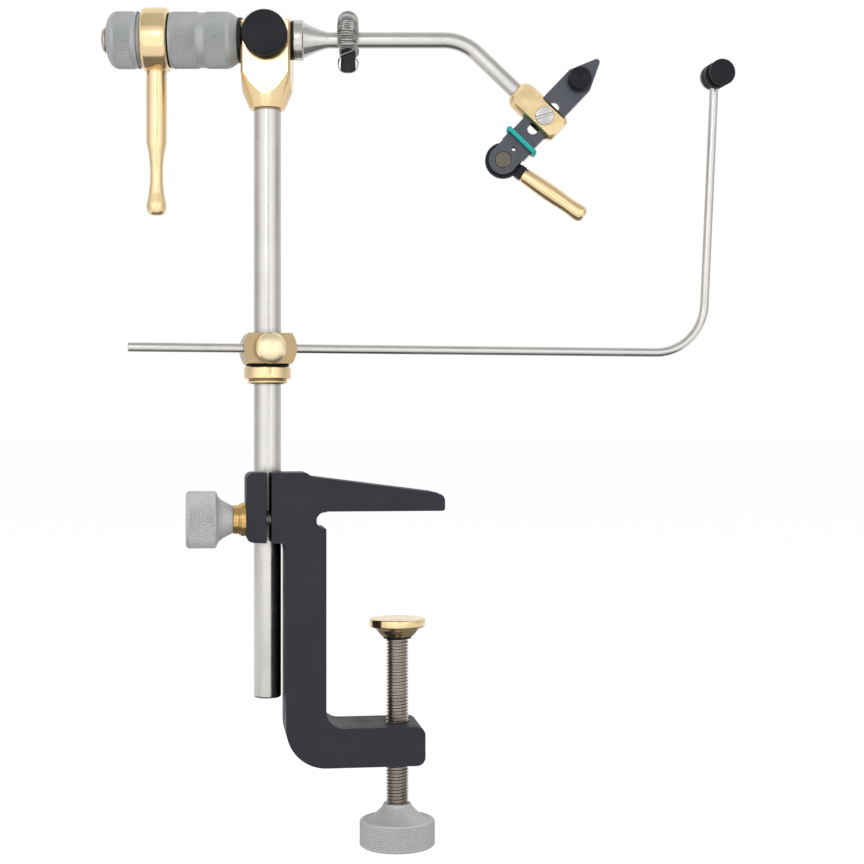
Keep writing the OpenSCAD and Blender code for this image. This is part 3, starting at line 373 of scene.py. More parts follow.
def knurled(bm, knurl):
    # presses two crossing sets of grooves into the rows of a drum
    heights = [height for _, height in drumRows(knurl)]
    step = heights[1] - heights[0]
    columns = 4 * knurl["diamonds"]
    lift = {}
    for v in bm.verts:
        out = hypot(v.co.x, v.co.y)
        height = v.co.z / mm
        if abs(out / mm - knurl["radius"]) > 0.002 or not heights[0] - 0.001 < height < heights[-1] + 0.001:
            continue
        row = round((height - heights[0]) / step)
        column = round(atan2(v.co.y, v.co.x) / tau * columns)
        lift[v] = min(wave((column + row) / 4), wave((column - row) / 4))
        share = 1 - knurl["depth"] * (1 - lift[v]) / knurl["radius"]
        v.co.x *= share
        v.co.y *= share
    for face in [f for f in bm.faces if len(f.verts) == 4 and all(v in lift for v in f.verts)]:
        a, b, c, d = face.verts
        ends = (a, c) if lift[a] + lift[c] <= lift[b] + lift[d] else (b, d)
        bmesh.utils.face_split(face, *ends)


def threaded(radius, root, pitch, low, high, sides=36):
    # a ridge swept round and along the bar, then cut flat at both ends
    bm = bmesh.new()
    ridge = [(root, 0), (root, 0.12), (radius, 0.42), (radius, 0.58), (root, 0.88), (root, 1)]
    spots = [bm.verts.new((r * mm, 0, (low + (share - 1) * pitch) * mm)) for r, share in ridge]
    edges = [bm.edges.new(pair) for pair in zip(spots, spots[1:])]
    turns = int((high - low) / pitch) + 3
    bmesh.ops.spin(
        bm, geom=spots + edges, cent=(0, 0, 0), axis=(0, 0, 1), angle=tau * turns, steps=sides * turns,
        dvec=(0, 0, pitch * mm / sides), use_merge=False,
    )
    bmesh.ops.remove_doubles(bm, verts=bm.verts, dist=0.001 * mm)
    for height, way in ((low, -1), (high, 1)):
        everything = bm.verts[:] + bm.edges[:] + bm.faces[:]
        bmesh.ops.bisect_plane(
            bm, geom=everything, dist=1e-7, plane_co=(0, 0, height * mm), plane_no=(0, 0, way), clear_outer=True
        )
        rim = [e for e in bm.edges if e.is_boundary and abs(e.verts[0].co.z - height * mm) < 1e-6]
        bmesh.ops.holes_fill(bm, edges=rim)
    return bm


def cadCopy(node, width=0.0, segments=2, sharper=28):
    # the CAD node's own shape with its loose triangles joined and its sharp edges rounded
    bm = bmesh.new()
    bm.from_mesh(nodes[node].data)
    bmesh.ops.remove_doubles(bm, verts=bm.verts, dist=0.001 * mm)
    bmesh.ops.dissolve_limit(bm, angle_limit=radians(0.6), verts=bm.verts, edges=bm.edges)
    if width:
        edges = [e for e in bm.edges if len(e.link_faces) == 2 and e.calc_face_angle(0) > radians(sharper)]
        bmesh.ops.bevel(
            bm, geom=edges, offset=width * mm, offset_type="OFFSET", segments=segments, profile=0.5,
            affect="EDGES", clamp_overlap=True, material=-1,
        )
    return bm


def shown(bm, name, node, kind, place=Matrix.Identity(4), built=True, weighted=False):
    # makes the piece, moves it with its body and hides its CAD node
    if built:
        bm.transform(place)
    bmesh.ops.remove_doubles(bm, verts=bm.verts, dist=0.0002 * mm)
    bmesh.ops.recalc_face_normals(bm, faces=bm.faces)
    mesh = bpy.data.meshes.new(name)
    bm.to_mesh(mesh)
    bm.free()
    mesh.shade_smooth()
    mesh.set_sharp_from_angle(angle=sharpEdge)
    mesh.materials.append(madeFinish(kind, place, name))
    piece = bpy.data.objects.new(name, mesh)
    bpy.context.scene.collection.objects.link(piece)
    if weighted:
        flat = piece.modifiers.new("flatFaces", "WEIGHTED_NORMAL")
        flat.keep_sharp = True
    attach(piece, bodyOf[node])
    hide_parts(node)
    return piece


# the clamp, its pad and its screw

clamp = {"edge": 0.45, "segments": 3}
place, _, _ = seat("clamp_frame", up)
shown(cadCopy("clamp_frame", clamp["edge"], clamp["segments"]), "clampFrame", "clamp_frame", "blackCoat", place,
      built=False, weighted=True)

pad = {
    "shares": [(0, 0), (0.96, 0), (1, 0.055), (1, 0.44), (0.845, 0.54), (0.745, 0.65), (0.69, 0.78), (0.6, 0.93),
               (0.56, 1)],
    "bore": 4.03, "floor": 2.6, "round": 0.35,
}
place, length, radius = seat("clamp_pad", -up)
line = filleted(scaled(pad["shares"], radius, length), pad["round"])
line += [(pad["bore"], length), (pad["bore"], pad["floor"]), (0, pad["floor"])]
shown(turned(line), "clampPad", "clamp_pad", "turnedBrass", place)

place, _, _ = seat("pad_retaining_ring", up)
shown(cadCopy("pad_retaining_ring", 0.12), "padRing", "pad_retaining_ring", "blackOxide", place, built=False)

clampScrew = {"pitch": 1.1545, "root": 3.36}
place, length, radius = seat("clamp_screw", up)
shown(threaded(radius, clampScrew["root"], clampScrew["pitch"], 0, length, 40), "clampScrew", "clamp_screw",
      "screwSteel", place)

screwKnob = {
    "shares": [(0.358, 0), (0.4, 0.08), (0.5, 0.176), (0.62, 0.27), (0.784, 0.379), (0.84, 0.375), (0.873, 0.346),
               (0.96, 0.37), (0.985, 0.405)],
    "end": [(0.985, 0.954), (0.918, 1), (0, 1)],
    "bore": 3.99, "depth": 11.1, "round": 0.4, "drum": (0.42, 0.94), "diamonds": 84, "pitch": 1.8, "cut": 0.34,
}
place, length, radius = seat("clamp_screw_knob", -up)
knurl = {"radius": radius, "from": screwKnob["drum"][0] * length, "to": screwKnob["drum"][1] * length,
         "diamonds": screwKnob["diamonds"], "pitch": screwKnob["pitch"], "depth": screwKnob["cut"]}
line = [(0, screwKnob["depth"]), (screwKnob["bore"], screwKnob["depth"]), (screwKnob["bore"], 0)]
line += filleted(scaled(screwKnob["shares"], radius, length), screwKnob["round"])
line += drumRows(knurl) + filleted(scaled(screwKnob["end"], radius, length), screwKnob["round"])
body = turned(line, 4 * screwKnob["diamonds"])
knurled(body, knurl)
shown(body, "clampScrewKnob", "clamp_screw_knob", "paleGrey", place)
print("clamp made")

# the lock on the stem

ferrule = {
    "shares": [(1, 0), (1, 0.38), (0.93, 0.42), (0.93, 0.52), (0.86, 0.58), (0.86, 1)], "bore": 2.5, "round": 0.2,
}
place, length, radius = seat("lock_ferrule", lockOut)
line = [(ferrule["bore"], 0)] + filleted(scaled(ferrule["shares"], radius, length), ferrule["round"])
line += [(ferrule["bore"], length)]
# the ferrule wears the darker copy of the brass as painted shade
shown(turned(line, closed=True), "lockFerrule", "lock_ferrule", "shadedGoldBrass", place)

lockKnob = {
    "shares": [(0.468, 0), (0.512, 0.05), (0.575, 0.13), (0.673, 0.236), (0.78, 0.31), (0.94, 0.352), (0.985, 0.375)],
    "end": [(0.985, 0.945), (0.91, 1), (0, 1)],
    "bore": 2.43, "depth": 9.1, "round": 0.4, "drum": (0.39, 0.93), "diamonds": 62, "pitch": 1.8, "cut": 0.34,
}
place, length, radius = seat("lock_knob", lockOut)
knurl = {"radius": radius, "from": lockKnob["drum"][0] * length, "to": lockKnob["drum"][1] * length,
         "diamonds": lockKnob["diamonds"], "pitch": lockKnob["pitch"], "depth": lockKnob["cut"]}
line = [(0, lockKnob["depth"]), (lockKnob["bore"], lockKnob["depth"]), (lockKnob["bore"], 0)]
line += filleted(scaled(lockKnob["shares"], radius, length), lockKnob["round"])
line += drumRows(knurl) + filleted(scaled(lockKnob["end"], radius, length), lockKnob["round"])
body = turned(line, 4 * lockKnob["diamonds"])
knurled(body, knurl)
shown(body, "lockKnob", "lock_knob", "paleGrey", place)

lockScrew = {"pitch": 1.0583, "root": 2.0}
place, length, radius = seat("lock_screw", lockOut)
shown(threaded(radius, lockScrew["root"], lockScrew["pitch"], 0, length, 28), "lockScrew", "lock_screw", "screwSteel",
      place)

stem = {"edge": 0.5}
place, length, radius = seat("stem", up)
line = [(0, 0), (radius - stem["edge"], 0), (radius, stem["edge"]), (radius, length - stem["edge"]),
        (radius - stem["edge"], length), (0, length)]
shown(turned(filleted(line, 0.2), 128), "stemBar", "stem", "brushedSteel", place)
print("stem and its lock made")

# the head and its drag screw

headBlock = {"edge": 0.22, "segments": 2}
place, _, _ = seat("head_block", up)
shown(cadCopy("head_block", headBlock["edge"], headBlock["segments"]), "headBlock", "head_block", "satinBrass", place,
      built=False, weighted=True)
place, _, _ = seat("head_set_screw", -headFront)
shown(cadCopy("head_set_screw", 0.1), "headSetScrew", "head_set_screw", "screwSteel", place, built=False)
place, _, _ = seat("drag_plug", headFront)
shown(cadCopy("drag_plug", 0.1), "dragPlug", "drag_plug", "nylon", place, built=False)
place, length, radius = seat("drag_screw", headFront)
shown(threaded(radius, 2.05, 0.8, 0, length, 28), "dragScrew", "drag_screw", "screwSteel", place)

dragKnob = {
    "start": [(0.3, 0), (0.9, 0), (0.97, 0.12)], "end": [(0.97, 0.88), (0.93, 1), (0.1, 1), (0.07, 0.965), (0, 0.96)],
    "bore": 2.43, "depth": 2.7, "round": 0.25, "drum": (0.15, 0.85), "diamonds": 52, "pitch": 1.5, "cut": 0.34,
}
place, length, radius = seat("drag_knob", headFront)
knurl = {"radius": radius, "from": dragKnob["drum"][0] * length, "to": dragKnob["drum"][1] * length,
         "diamonds": dragKnob["diamonds"], "pitch": dragKnob["pitch"], "depth": dragKnob["cut"]}
line = [(0, dragKnob["depth"]), (dragKnob["bore"], dragKnob["depth"]), (dragKnob["bore"], 0)]
line += filleted(scaled(dragKnob["start"], radius, length), dragKnob["round"]) + drumRows(knurl)
line += filleted(scaled(dragKnob["end"], radius, length), dragKnob["round"])
body = turned(line, 4 * dragKnob["diamonds"])
knurled(body, knurl)
shown(body, "dragKnob", "drag_knob", "blackAnodised", place)
print("head made")

# the spindle: washers, grip barrel, crank ring and handle, end cap

for node, name in (("inner_thrust_washer", "innerWasher"), ("outer_thrust_washer", "outerWasher")):
    place, _, _ = seat(node, spindleRight)
    shown(cadCopy(node, 0.12), name, node, "nylon", place, built=False)

barrel = {
    "start": [(0.778, 0), (0.97, 0.117), (0.97, 0.15), (0.985, 0.155)],
    "middle": [(0.985, 0.468), (0.965, 0.472), (0.965, 0.588), (0.985, 0.592)],
    "end": [(0.985, 0.968), (0.97, 0.972), (0.97, 1)],
    "bands": [(0.165, 0.458), (0.602, 0.958)],
    "bore": 4.0, "round": 0.25, "diamonds": 60, "pitch": 1.8, "cut": 0.34,
}
place, length, radius = seat("grip_barrel", -spindleRight)
bands = [{"radius": radius, "from": low * length, "to": high * length, "diamonds": barrel["diamonds"],
          "pitch": barrel["pitch"], "depth": barrel["cut"]} for low, high in barrel["bands"]]
line = [(barrel["bore"], 0)] + filleted(scaled(barrel["start"], radius, length), barrel["round"]) + drumRows(bands[0])
line += filleted(scaled(barrel["middle"], radius, length), barrel["round"]) + drumRows(bands[1])
line += filleted(scaled(barrel["end"], radius, length), barrel["round"]) + [(barrel["bore"], length)]
body = turned(line, 4 * barrel["diamonds"], closed=True)
for band in bands:
    knurled(body, band)
shown(body, "gripBarrel", "grip_barrel", "blastedGrey", place)

crankRing = {
    "shares": [(0.87, 0), (0.96, 0.04), (0.997, 0.14), (0.997, 0.86), (0.96, 0.96), (0.87, 1)],
    "bore": 4.0, "round": 0.5,
}
place, length, radius = seat("crank_ring", -spindleRight)
line = [(crankRing["bore"], 0)] + filleted(scaled(crankRing["shares"], radius, length), crankRing["round"])
line += [(crankRing["bore"], length)]
shown(turned(line, 128, closed=True), "crankRing", "crank_ring", "turnedBrass", place)

crankHandle = {
    "shares": [(0.96, 0), (1, 0.02), (1, 0.49), (0.96, 0.508), (0.87, 0.541), (0.755, 0.576), (0.656, 0.644),
               (0.615, 0.712), (0.656, 0.78), (0.768, 0.85), (0.87, 0.885), (0.955, 0.915), (0.985, 0.935),
               (0.94, 0.96), (0.8, 0.983), (0.55, 0.996), (0, 1)],
    "stud": 1.9, "studLength": 4.0, "round": 0.7,
}
place, length, radius = seat("crank_handle", -up)
start = crankHandle["studLength"]
line = [(0, 0), (crankHandle["stud"], 0), (crankHandle["stud"], start)]
line += filleted(scaled(crankHandle["shares"], radius, length - start, start), crankHandle["round"])
shown(turned(line), "crankHandle", "crank_handle", "turnedBrass", place)

endCap = {
    "start": [(0.93, 0), (0.93, 0.094), (1, 0.098), (1, 0.13), (0.97, 0.145), (0.97, 0.22), (0.985, 0.236)],
    "end": [(0.985, 0.7), (0.965, 0.78), (0.88, 0.86), (0.76, 0.92), (0.6, 0.965), (0.4, 1)],
    "bore": 4.0, "depth": 6.4, "hole": 2.55, "round": 0.25, "drum": (0.25, 0.69), "diamonds": 60, "pitch": 1.8,
    "cut": 0.34,
}
place, length, radius = seat("end_cap", -spindleRight)
knurl = {"radius": radius, "from": endCap["drum"][0] * length, "to": endCap["drum"][1] * length,
         "diamonds": endCap["diamonds"], "pitch": endCap["pitch"], "depth": endCap["cut"]}
line = [(endCap["hole"], endCap["depth"]), (endCap["bore"], endCap["depth"]), (endCap["bore"], 0)]
line += filleted(scaled(endCap["start"], radius, length), endCap["round"]) + drumRows(knurl)
line += filleted(scaled(endCap["end"], radius, length), endCap["round"]) + [(endCap["hole"], length)]
body = turned(line, 4 * endCap["diamonds"], closed=True)
knurled(body, knurl)
shown(body, "endCap", "end_cap", "blastedGrey", place)
place, _, _ = seat("end_screw", -spindleRight)
shown(cadCopy("end_screw", 0.12), "endScrew", "end_screw", "screwSteel", place, built=False)
print("spindle made")

# the rotary arm: a turned spindle drawn out into a bar, bent down into the jaw holder

arm = {
    "start": -50.1, "journal": 3.97, "bore": 2.55, "boreDepth": 7.7, "collar": (9.5, 12.7), "collarRadius": 7.0,
    "cone": [(1.0, 0), (0.80, 0), (0.48, 0.343), (0.2, 0.674), (0, 1)], "coneLength": 8.6, "radius": 2.8,
    "bendFrom": 62.063, "bendRadius": 16.8, "bend": 43.7, "past": 26.763, "head": (-40.0, 0.0, 165.4),
}


def bentBar(line, at, bendRadius, bend, past):
    # a turned bar along Z that bends towards X and runs on straight
    bm = turned(line, 64)
    ring = [e for e in bm.edges if e.is_boundary]
    spots = list({v for e in ring for v in e.verts})
    bent = bmesh.ops.spin(
        bm, geom=ring + spots, cent=((bendRadius) * mm, 0, at * mm), axis=(0, 1, 0), angle=radians(bend), steps=28
    )
    last = [e for e in bent["geom_last"] if isinstance(e, bmesh.types.BMEdge)]
    ran = bmesh.ops.extrude_edge_only(bm, edges=last)["geom"]
    ends = [v for v in ran if isinstance(v, bmesh.types.BMVert)]
    way = Vector((sin(radians(bend)), 0, cos(radians(bend))))
    bmesh.ops.translate(bm, verts=ends, vec=way * past * mm)
    bmesh.ops.holes_fill(bm, edges=[e for e in bm.edges if e.is_boundary])
    return bm


bar = arm["radius"]
swell = arm["collarRadius"] - bar
boreEnd = arm["start"] + arm["boreDepth"]
line = [(0, boreEnd), (arm["bore"], boreEnd), (arm["bore"], arm["start"])]
line += filleted(
    [(arm["journal"], arm["start"]), (arm["journal"], arm["collar"][0]), (arm["collarRadius"], arm["collar"][0]),
     (arm["collarRadius"], arm["collar"][1])]
    + [(bar + share * swell, arm["collar"][1] + at * arm["coneLength"]) for share, at in arm["cone"][1:]]
    + [(bar, 24.0)], 0.45,
)
line += [(bar, arm["bendFrom"])]
place = framed(Vector(arm["head"]) * mm, -up, -headFront, spindleRight)
shown(bentBar(line, arm["bendFrom"], arm["bendRadius"], arm["bend"], arm["past"]), "rotaryArm", "rotary_arm",
      "brushedSteel", place)

# the jaw holder, the two jaws and what holds them

for node, name, kind, edge, way in (
    ("jaw_holder", "jawHolder", "satinBrass", 0.2, jawRight),
    ("rear_jaw", "rearJaw", "gunmetal", 0.16, jawUp),
    ("front_jaw", "frontJaw", "gunmetal", 0.16, jawUp),
    ("holder_screw", "holderScrew", "turnedSteel", 0.22, jawFront),
    ("fulcrum_pin", "fulcrumPin", "brushedSteel", 0.1, jawRight),
    ("cam_pin", "camPin", "darkPin", 0.15, jawFront),
    ("cam_disc", "camDisc", "blackOxide", 0.14, jawFront),
):
    place, _, _ = seat(node, way)
    shown(cadCopy(node, edge), name, node, kind, place, built=False, weighted=True)

place, length, radius = seat("adjusting_screw", jawFront)
shown(threaded(radius, 1.2, 0.6, 0, length, 24), "adjustingScrew", "adjusting_screw", "screwSteel", place)
adjustingKnob = {
    "start": [(0.37, 0), (0.9, 0), (0.96, 0.1)], "end": [(0.96, 0.84), (0.9, 1), (0, 1)],
    "bore": 1.53, "depth": 2.1, "round": 0.2, "drum": (0.14, 0.8), "diamonds": 30, "pitch": 1.3, "cut": 0.16,
}
place, length, radius = seat("adjusting_knob", jawFront)
knurl = {"radius": radius, "from": adjustingKnob["drum"][0] * length, "to": adjustingKnob["drum"][1] * length,
         "diamonds": adjustingKnob["diamonds"], "pitch": adjustingKnob["pitch"], "depth": adjustingKnob["cut"]}
line = [(0, adjustingKnob["depth"]), (adjustingKnob["bore"], adjustingKnob["depth"]), (adjustingKnob["bore"], 0)]
line += filleted(scaled(adjustingKnob["start"], radius, length), adjustingKnob["round"]) + drumRows(knurl)
line += filleted(scaled(adjustingKnob["end"], radius, length), adjustingKnob["round"])
body = turned(line, 4 * adjustingKnob["diamonds"])
knurled(body, knurl)
shown(body, "adjustingKnob", "adjusting_knob", "blackAnodised", place)

camHandle = {
    "shares": [(0.8, 0), (0.87, 0.03), (0.96, 0.25), (1, 0.42), (0.97, 0.55), (0.9, 0.7), (0.9, 0.76), (0.96, 0.86),
               (0.985, 0.91), (0.92, 0.955), (0.7, 0.988), (0.4, 1), (0, 1)],
    "bore": 1.23, "depth": 4.1, "round": 0.6, "drop": 34.5,
}
drop = radians(camHandle["drop"])
place, length, radius = seat("cam_handle", spindleRight * cos(drop) - up * sin(drop))
line = [(0, camHandle["depth"]), (camHandle["bore"], camHandle["depth"]), (camHandle["bore"], 0)]
line += filleted(scaled(camHandle["shares"], radius, length), camHandle["round"])
shown(turned(line), "camHandle", "cam_handle", "turnedBrass", place)
print("jaws made")


def wired(points, thickness, closed=False, swell=None, sides=3):
    # a round wire along a line of points, in metres
    curve = bpy.data.curves.new("wire", "CURVE")
    curve.dimensions = "3D"
    curve.bevel_depth = thickness
    curve.bevel_resolution = sides
    curve.use_fill_caps = not closed
    run = curve.splines.new("POLY")
    run.points.add(len(points) - 1)
    for i, spot in enumerate(points):
        run.points[i].co = (*spot, 1)
        run.points[i].radius = swell[i] if swell else 1.0
    run.use_cyclic_u = closed
    holder = bpy.data.objects.new("wire", curve)
    bpy.context.scene.collection.objects.link(holder)
    mesh = bpy.data.meshes.new_from_object(holder.evaluated_get(bpy.context.evaluated_depsgraph_get()))
    bm = bmesh.new()
    bm.from_mesh(mesh)
    bpy.data.objects.remove(holder)
    return bm


# the rubber ring round both jaws: four sides and four tight corners, swollen where it leaves them
rubberRing = {"radius": 0.875, "right": 5.895, "back": 3.255, "bend": 0.975, "up": -11.6, "swell": 0.1}
corners = []
for quarter, (x, y) in enumerate(((1, 1), (-1, 1), (-1, -1), (1, -1))):
    for step in range(9):
        angle = radians(90 * quarter + 11.25 * step)
        corners.append((
            x * (rubberRing["right"] - rubberRing["bend"]) + rubberRing["bend"] * cos(angle),
            y * (rubberRing["back"] - rubberRing["bend"]) + rubberRing["bend"] * sin(angle),
            0.0,
        ))
jawMiddle = Vector((56.41, -13.549, 138.11)) * mm
place = framed(jawMiddle + jawUp * rubberRing["up"] * mm, jawRight, -jawFront, jawUp)
swelling = [1 + rubberRing["swell"] * (1 if abs(x) > rubberRing["right"] - 0.3 else 0) for x, _, _ in corners]
body = wired([Vector(c) * mm for c in corners], rubberRing["radius"] * mm, closed=True, swell=swelling, sides=6)
shown(body, "rubberRing", "jaw_o_ring", "tealRubber", place)

# the material clip: a close-wound spring bent round the arm, its hooks held by a rubber plug
clip = {
    "at": 28.4, "ring": 6.55, "coil": 3.375, "wire": 0.125, "swell": 1.2, "hookSwell": 1.4,
    "turns": 46.5, "half": 118.0,
    "steps": 22, "plugTop": -3.3,
}
# the front hook from the coil's end: across the plug, round its left side, under it and up its right side
hookLine = [(2.4, -4.3, -0.9), (0.4, -3.3, -1.6), (-1.6, -2.9, -2.3), (-2.9, -1.9, -3.0), (-3.5, -0.6, -4.3),
            (-3.4, 0.2, -5.8), (-2.7, 0.2, -7.2), (-1.4, -0.1, -8.0), (0, -0.2, -8.1), (1.5, -0.3, -8.0),
            (2.7, -0.5, -7.2), (3.4, -0.5, -5.8), (3.4, 0.0, -4.4), (2.95, 0.6, -3.5)]


def smoothed(points, steps=6):
    # a rounded line through a few points
    ends = [points[0] * 2 - points[1]] + points + [points[-1] * 2 - points[-2]]
    line = []
    for a, b, c, d in zip(ends, ends[1:], ends[2:], ends[3:]):
        for i in range(steps):
            t = i / steps
            square, cube = 2 * a - 5 * b + 4 * c - d, 3 * b - a - 3 * c + d
            line.append(0.5 * (2 * b + (c - a) * t + square * t ** 2 + cube * t ** 3))
    return line + [points[-1]]


coilLine, coilSwell = [], []
count = round(clip["turns"] * clip["steps"])
for i in range(count + 1):
    share = i / count
    sweep = radians((2 * share - 1) * clip["half"])
    turn = tau * (clip["turns"] * share + 0.25)
    out = clip["ring"] - clip["coil"] * cos(turn)
    coilLine.append(Vector((clip["coil"] * sin(turn), out * sin(sweep), out * cos(sweep))))
    coilSwell.append(1 + clip["swell"] * (1 - cos(turn)) / 2)
hook = [Vector((x, y, clip["plugTop"] + z)) for x, y, z in hookLine]
front = smoothed([coilLine[0]] + hook)[::-1]
back = smoothed([coilLine[-1]] + [Vector((-x, -y, z)) for x, y, z in hook])
path = front[:-1] + coilLine + back[1:]
swelling = [clip["hookSwell"]] * (len(front) - 1) + coilSwell + [clip["hookSwell"]] * (len(back) - 1)
place = framed(Vector(arm["head"]) * mm + spindleRight * clip["at"] * mm, spindleRight, -headFront, up)
shown(wired([spot * mm for spot in path], clip["wire"] * mm, swell=swelling, sides=1), "clipSpring", "clip_spring",
      "springSteel", place)

clipPlug = {"round": 0.8}
place, length, radius = seat("clip_plug", -up)
line = [(0, 0), (radius * 0.93, 0), (radius, 0.4), (radius, length * 0.4), (radius * 0.96, length * 0.5),
        (radius, length * 0.6), (radius, length - 0.3), (radius - 0.5, length), (0, length)]
shown(turned(filleted(line, clipPlug["round"]), 48), "clipPlug", "clip_plug", "blackRubber", place)
print("material clip and rubber ring made")

# the cradle: collar, block, thumb screw, rod and its rest

for node, name, kind, edge, way in (
    ("collar_washer", "collarWasher", "nylon", 0.12, up),
    ("collar_set_screw", "collarSetScrew", "screwSteel", 0.1, -cradleFront),
    ("cradle_block", "cradleBlock", "shadedDullBrass", 0.3, cradleFront),
    ("roller_screw", "rollerScrew", "turnedSteel", 0.12, cradleFront),
    ("roller_washer", "rollerWasher", "turnedSteel", 0.12, cradleFront),
):
    place, _, _ = seat(node, way)
    shown(cadCopy(node, edge), name, node, kind, place, built=False, weighted=True)

collar = {
    "shares": [(0.94, 0), (1, 0.06), (1, 0.68), (0.93, 0.74), (0.8, 0.76), (0.8, 0.8), (0.85, 0.82), (0.85, 0.92),
               (0.78, 1)],
    "bore": 4.82, "round": 0.3,
}
place, length, radius = seat("cradle_collar", -up)
line = [(collar["bore"], 0)] + filleted(scaled(collar["shares"], radius, length), collar["round"])
line += [(collar["bore"], length)]
shown(turned(line, closed=True), "cradleCollar", "cradle_collar", "turnedBrass", place)

thumbScrew = {
    "shares": [(0.82, 0), (0.97, 0.1), (1, 0.25), (0.97, 0.45), (0.86, 0.66), (0.66, 0.84), (0.4, 0.96), (0.15, 1),
               (0, 1)],
    "neck": 2.4, "head": 4.2, "round": 0.6,
}
place, length, radius = seat("cradle_thumb_screw", cradleFront)
start = length - thumbScrew["head"]
line = [(0, 0), (thumbScrew["neck"] - 0.3, 0), (thumbScrew["neck"], 0.3), (thumbScrew["neck"], start)]
line += filleted(scaled(thumbScrew["shares"], radius, thumbScrew["head"], start), thumbScrew["round"])
# the thumb screw wears the paler copy of the brass as painted light
shown(turned(line), "thumbScrew", "cradle_thumb_screw", "litSoftBrass", place)

rod = {
    "start": -48.6, "radius": 1.5875, "bendFrom": 141.4, "bendRadius": 19.0, "bend": 87.34, "past": 82.17,
    "foot": (-40.0, 0.0, 56.6), "front": 6.8,
}
line = filleted([(0, rod["start"]), (rod["radius"], rod["start"]), (rod["radius"], 0)], 0.35)
line += [(rod["radius"], rod["bendFrom"])]
foot = Vector(rod["foot"]) * mm + cradleFront * rod["front"] * mm
shown(bentBar(line, rod["bendFrom"], rod["bendRadius"], rod["bend"], rod["past"]), "cradleRod", "cradle_rod",
      "brushedSteel", framed(foot, up, cradleFront, rodRight))

restHub = {"bore": 1.53, "round": 0.3, "edge": 0.35, "groove": 0.25, "grooveFrom": 0.45, "grooveTo": 0.55}
place, length, radius = seat("rest_hub", cradleFront)
edge, waist = restHub["edge"], (restHub["grooveFrom"] + restHub["grooveTo"]) / 2
line = [(restHub["bore"], 0), (radius - edge, 0), (radius, edge), (radius, length * restHub["grooveFrom"]),
        (radius - restHub["groove"], length * waist), (radius, length * restHub["grooveTo"]),
        (radius, length - edge), (radius - edge, length), (restHub["bore"], length)]
shown(turned(filleted(line, restHub["round"]), closed=True), "restHub", "rest_hub", "blackAnodised", place)

roller = {
    "drum": 3.7, "drumLength": 2.6, "bore": 1.55, "boreDepth": 3.9, "round": 0.3, "backEdge": 0.3, "edge": 0.35,
    "dimple": (0.9, 0.7), "dimpleDepth": 0.12,
}
place, length, radius = seat("rest_roller", cradleFront)
line = [(0, roller["boreDepth"]), (roller["bore"], roller["boreDepth"]), (roller["bore"], 0)]
edge, back, floor = roller["edge"], roller["backEdge"], length - roller["dimpleDepth"]
line += filleted(
    [(roller["drum"], 0), (roller["drum"], roller["drumLength"]), (radius - back, roller["drumLength"]),
     (radius, roller["drumLength"] + back), (radius, length - edge), (radius - edge, length),
     (roller["dimple"][0], length), (roller["dimple"][1], floor), (0, floor)], roller["round"],
)
shown(turned(line), "restRoller", "rest_roller", "blackAnodised", place)
print("cradle made")

# the studio: pale floor, white surroundings, four soft lamps, and cards that are seen only in the metal

studio = {
    "middle": (18.0, 0.0, 20.0), "floor": -150.0, "facing": -8.0,
    "around": (0.62, 0.62, 0.63), "white": (1.0, 1.0, 1.0),
    "floorPaint": (0.92, 0.92, 0.92), "floorRough": 0.9, "floorGlow": 1.06, "floorShare": 0.86, "floorReach": 40.0,
    "lamps": [
        {"name": "keyLamp", "azimuth": 28.0, "elevation": 38.0, "distance": 1.4, "size": (0.7, 0.9), "glow": 2.0},
        {"name": "fillLamp", "azimuth": -48.0, "elevation": 24.0, "distance": 1.4, "size": (0.9, 1.0), "glow": 1.3},
        {"name": "lowLamp", "azimuth": -6.0, "elevation": -1.0, "distance": 1.3, "size": (1.3, 0.2), "glow": 2.4},
        {"name": "topLamp", "azimuth": 10.0, "elevation": 80.0, "distance": 1.3, "size": (1.2, 0.8), "glow": 1.5},
    ],
    # a soft box to either side of the camera, dark flags at the sides and a pale back, each at its azimuth
    "surround": [(-180, 1.0), (-90, 0.65), (-35, 1.55), (0, 1.35), (30, 1.65), (90, 0.65), (180, 1.0)],
    "surroundHeight": (-0.148, 0.62), "reach": 1.15,
    # flat cards: middle and size in m, to the right, to the back and up from the middle of the object
    "cards": [
        {"name": "topCard", "at": (0.0, -0.5, 1.0), "size": (2.2, 1.24), "glow": 0.66},
        {"name": "lowCard", "at": (0.0, 0.08, -0.1655), "size": (0.62, 0.4), "glow": 0.22},
        {"name": "frontLowCard", "at": (0.0, -0.8, -0.165), "size": (0.9, 0.66), "glow": 1.45},
    ],
    # cards mirrored in one flat face: the face's place, the way it looks and how far the card is
    "faceCards": [
        {"name": "blockCard", "of": (-41.0, -8.0, 152.0), "azimuth": -5.7, "elevation": 12.5, "distance": 1.0,
         "size": (0.2, 0.22), "glow": 3.6},
        {"name": "holderCard", "of": (56.0, -14.0, 138.0), "azimuth": 4.5, "elevation": 11.0, "distance": 1.0,
         "size": (0.13, 0.16), "glow": 0.66},
        {"name": "cradleCard", "of": (-38.0, -8.0, 57.0), "azimuth": 18.3, "elevation": 3.5, "distance": 1.0,
         "size": (0.2, 0.12), "glow": 0.42},
    ],
}
middle = Vector(studio["middle"]) * mm
viewRight = Vector((cos(radians(studio["facing"])), sin(radians(studio["facing"])), 0))
viewBack = Vector((-sin(radians(studio["facing"])), cos(radians(studio["facing"])), 0))


def around(azimuth, elevation, distance):
    # a place round the object: azimuth to the right of the camera, both in degrees
    flat = -viewBack * cos(radians(azimuth)) + viewRight * sin(radians(azimuth))
    return middle + (flat * cos(radians(elevation)) + up * sin(radians(elevation))) * distance


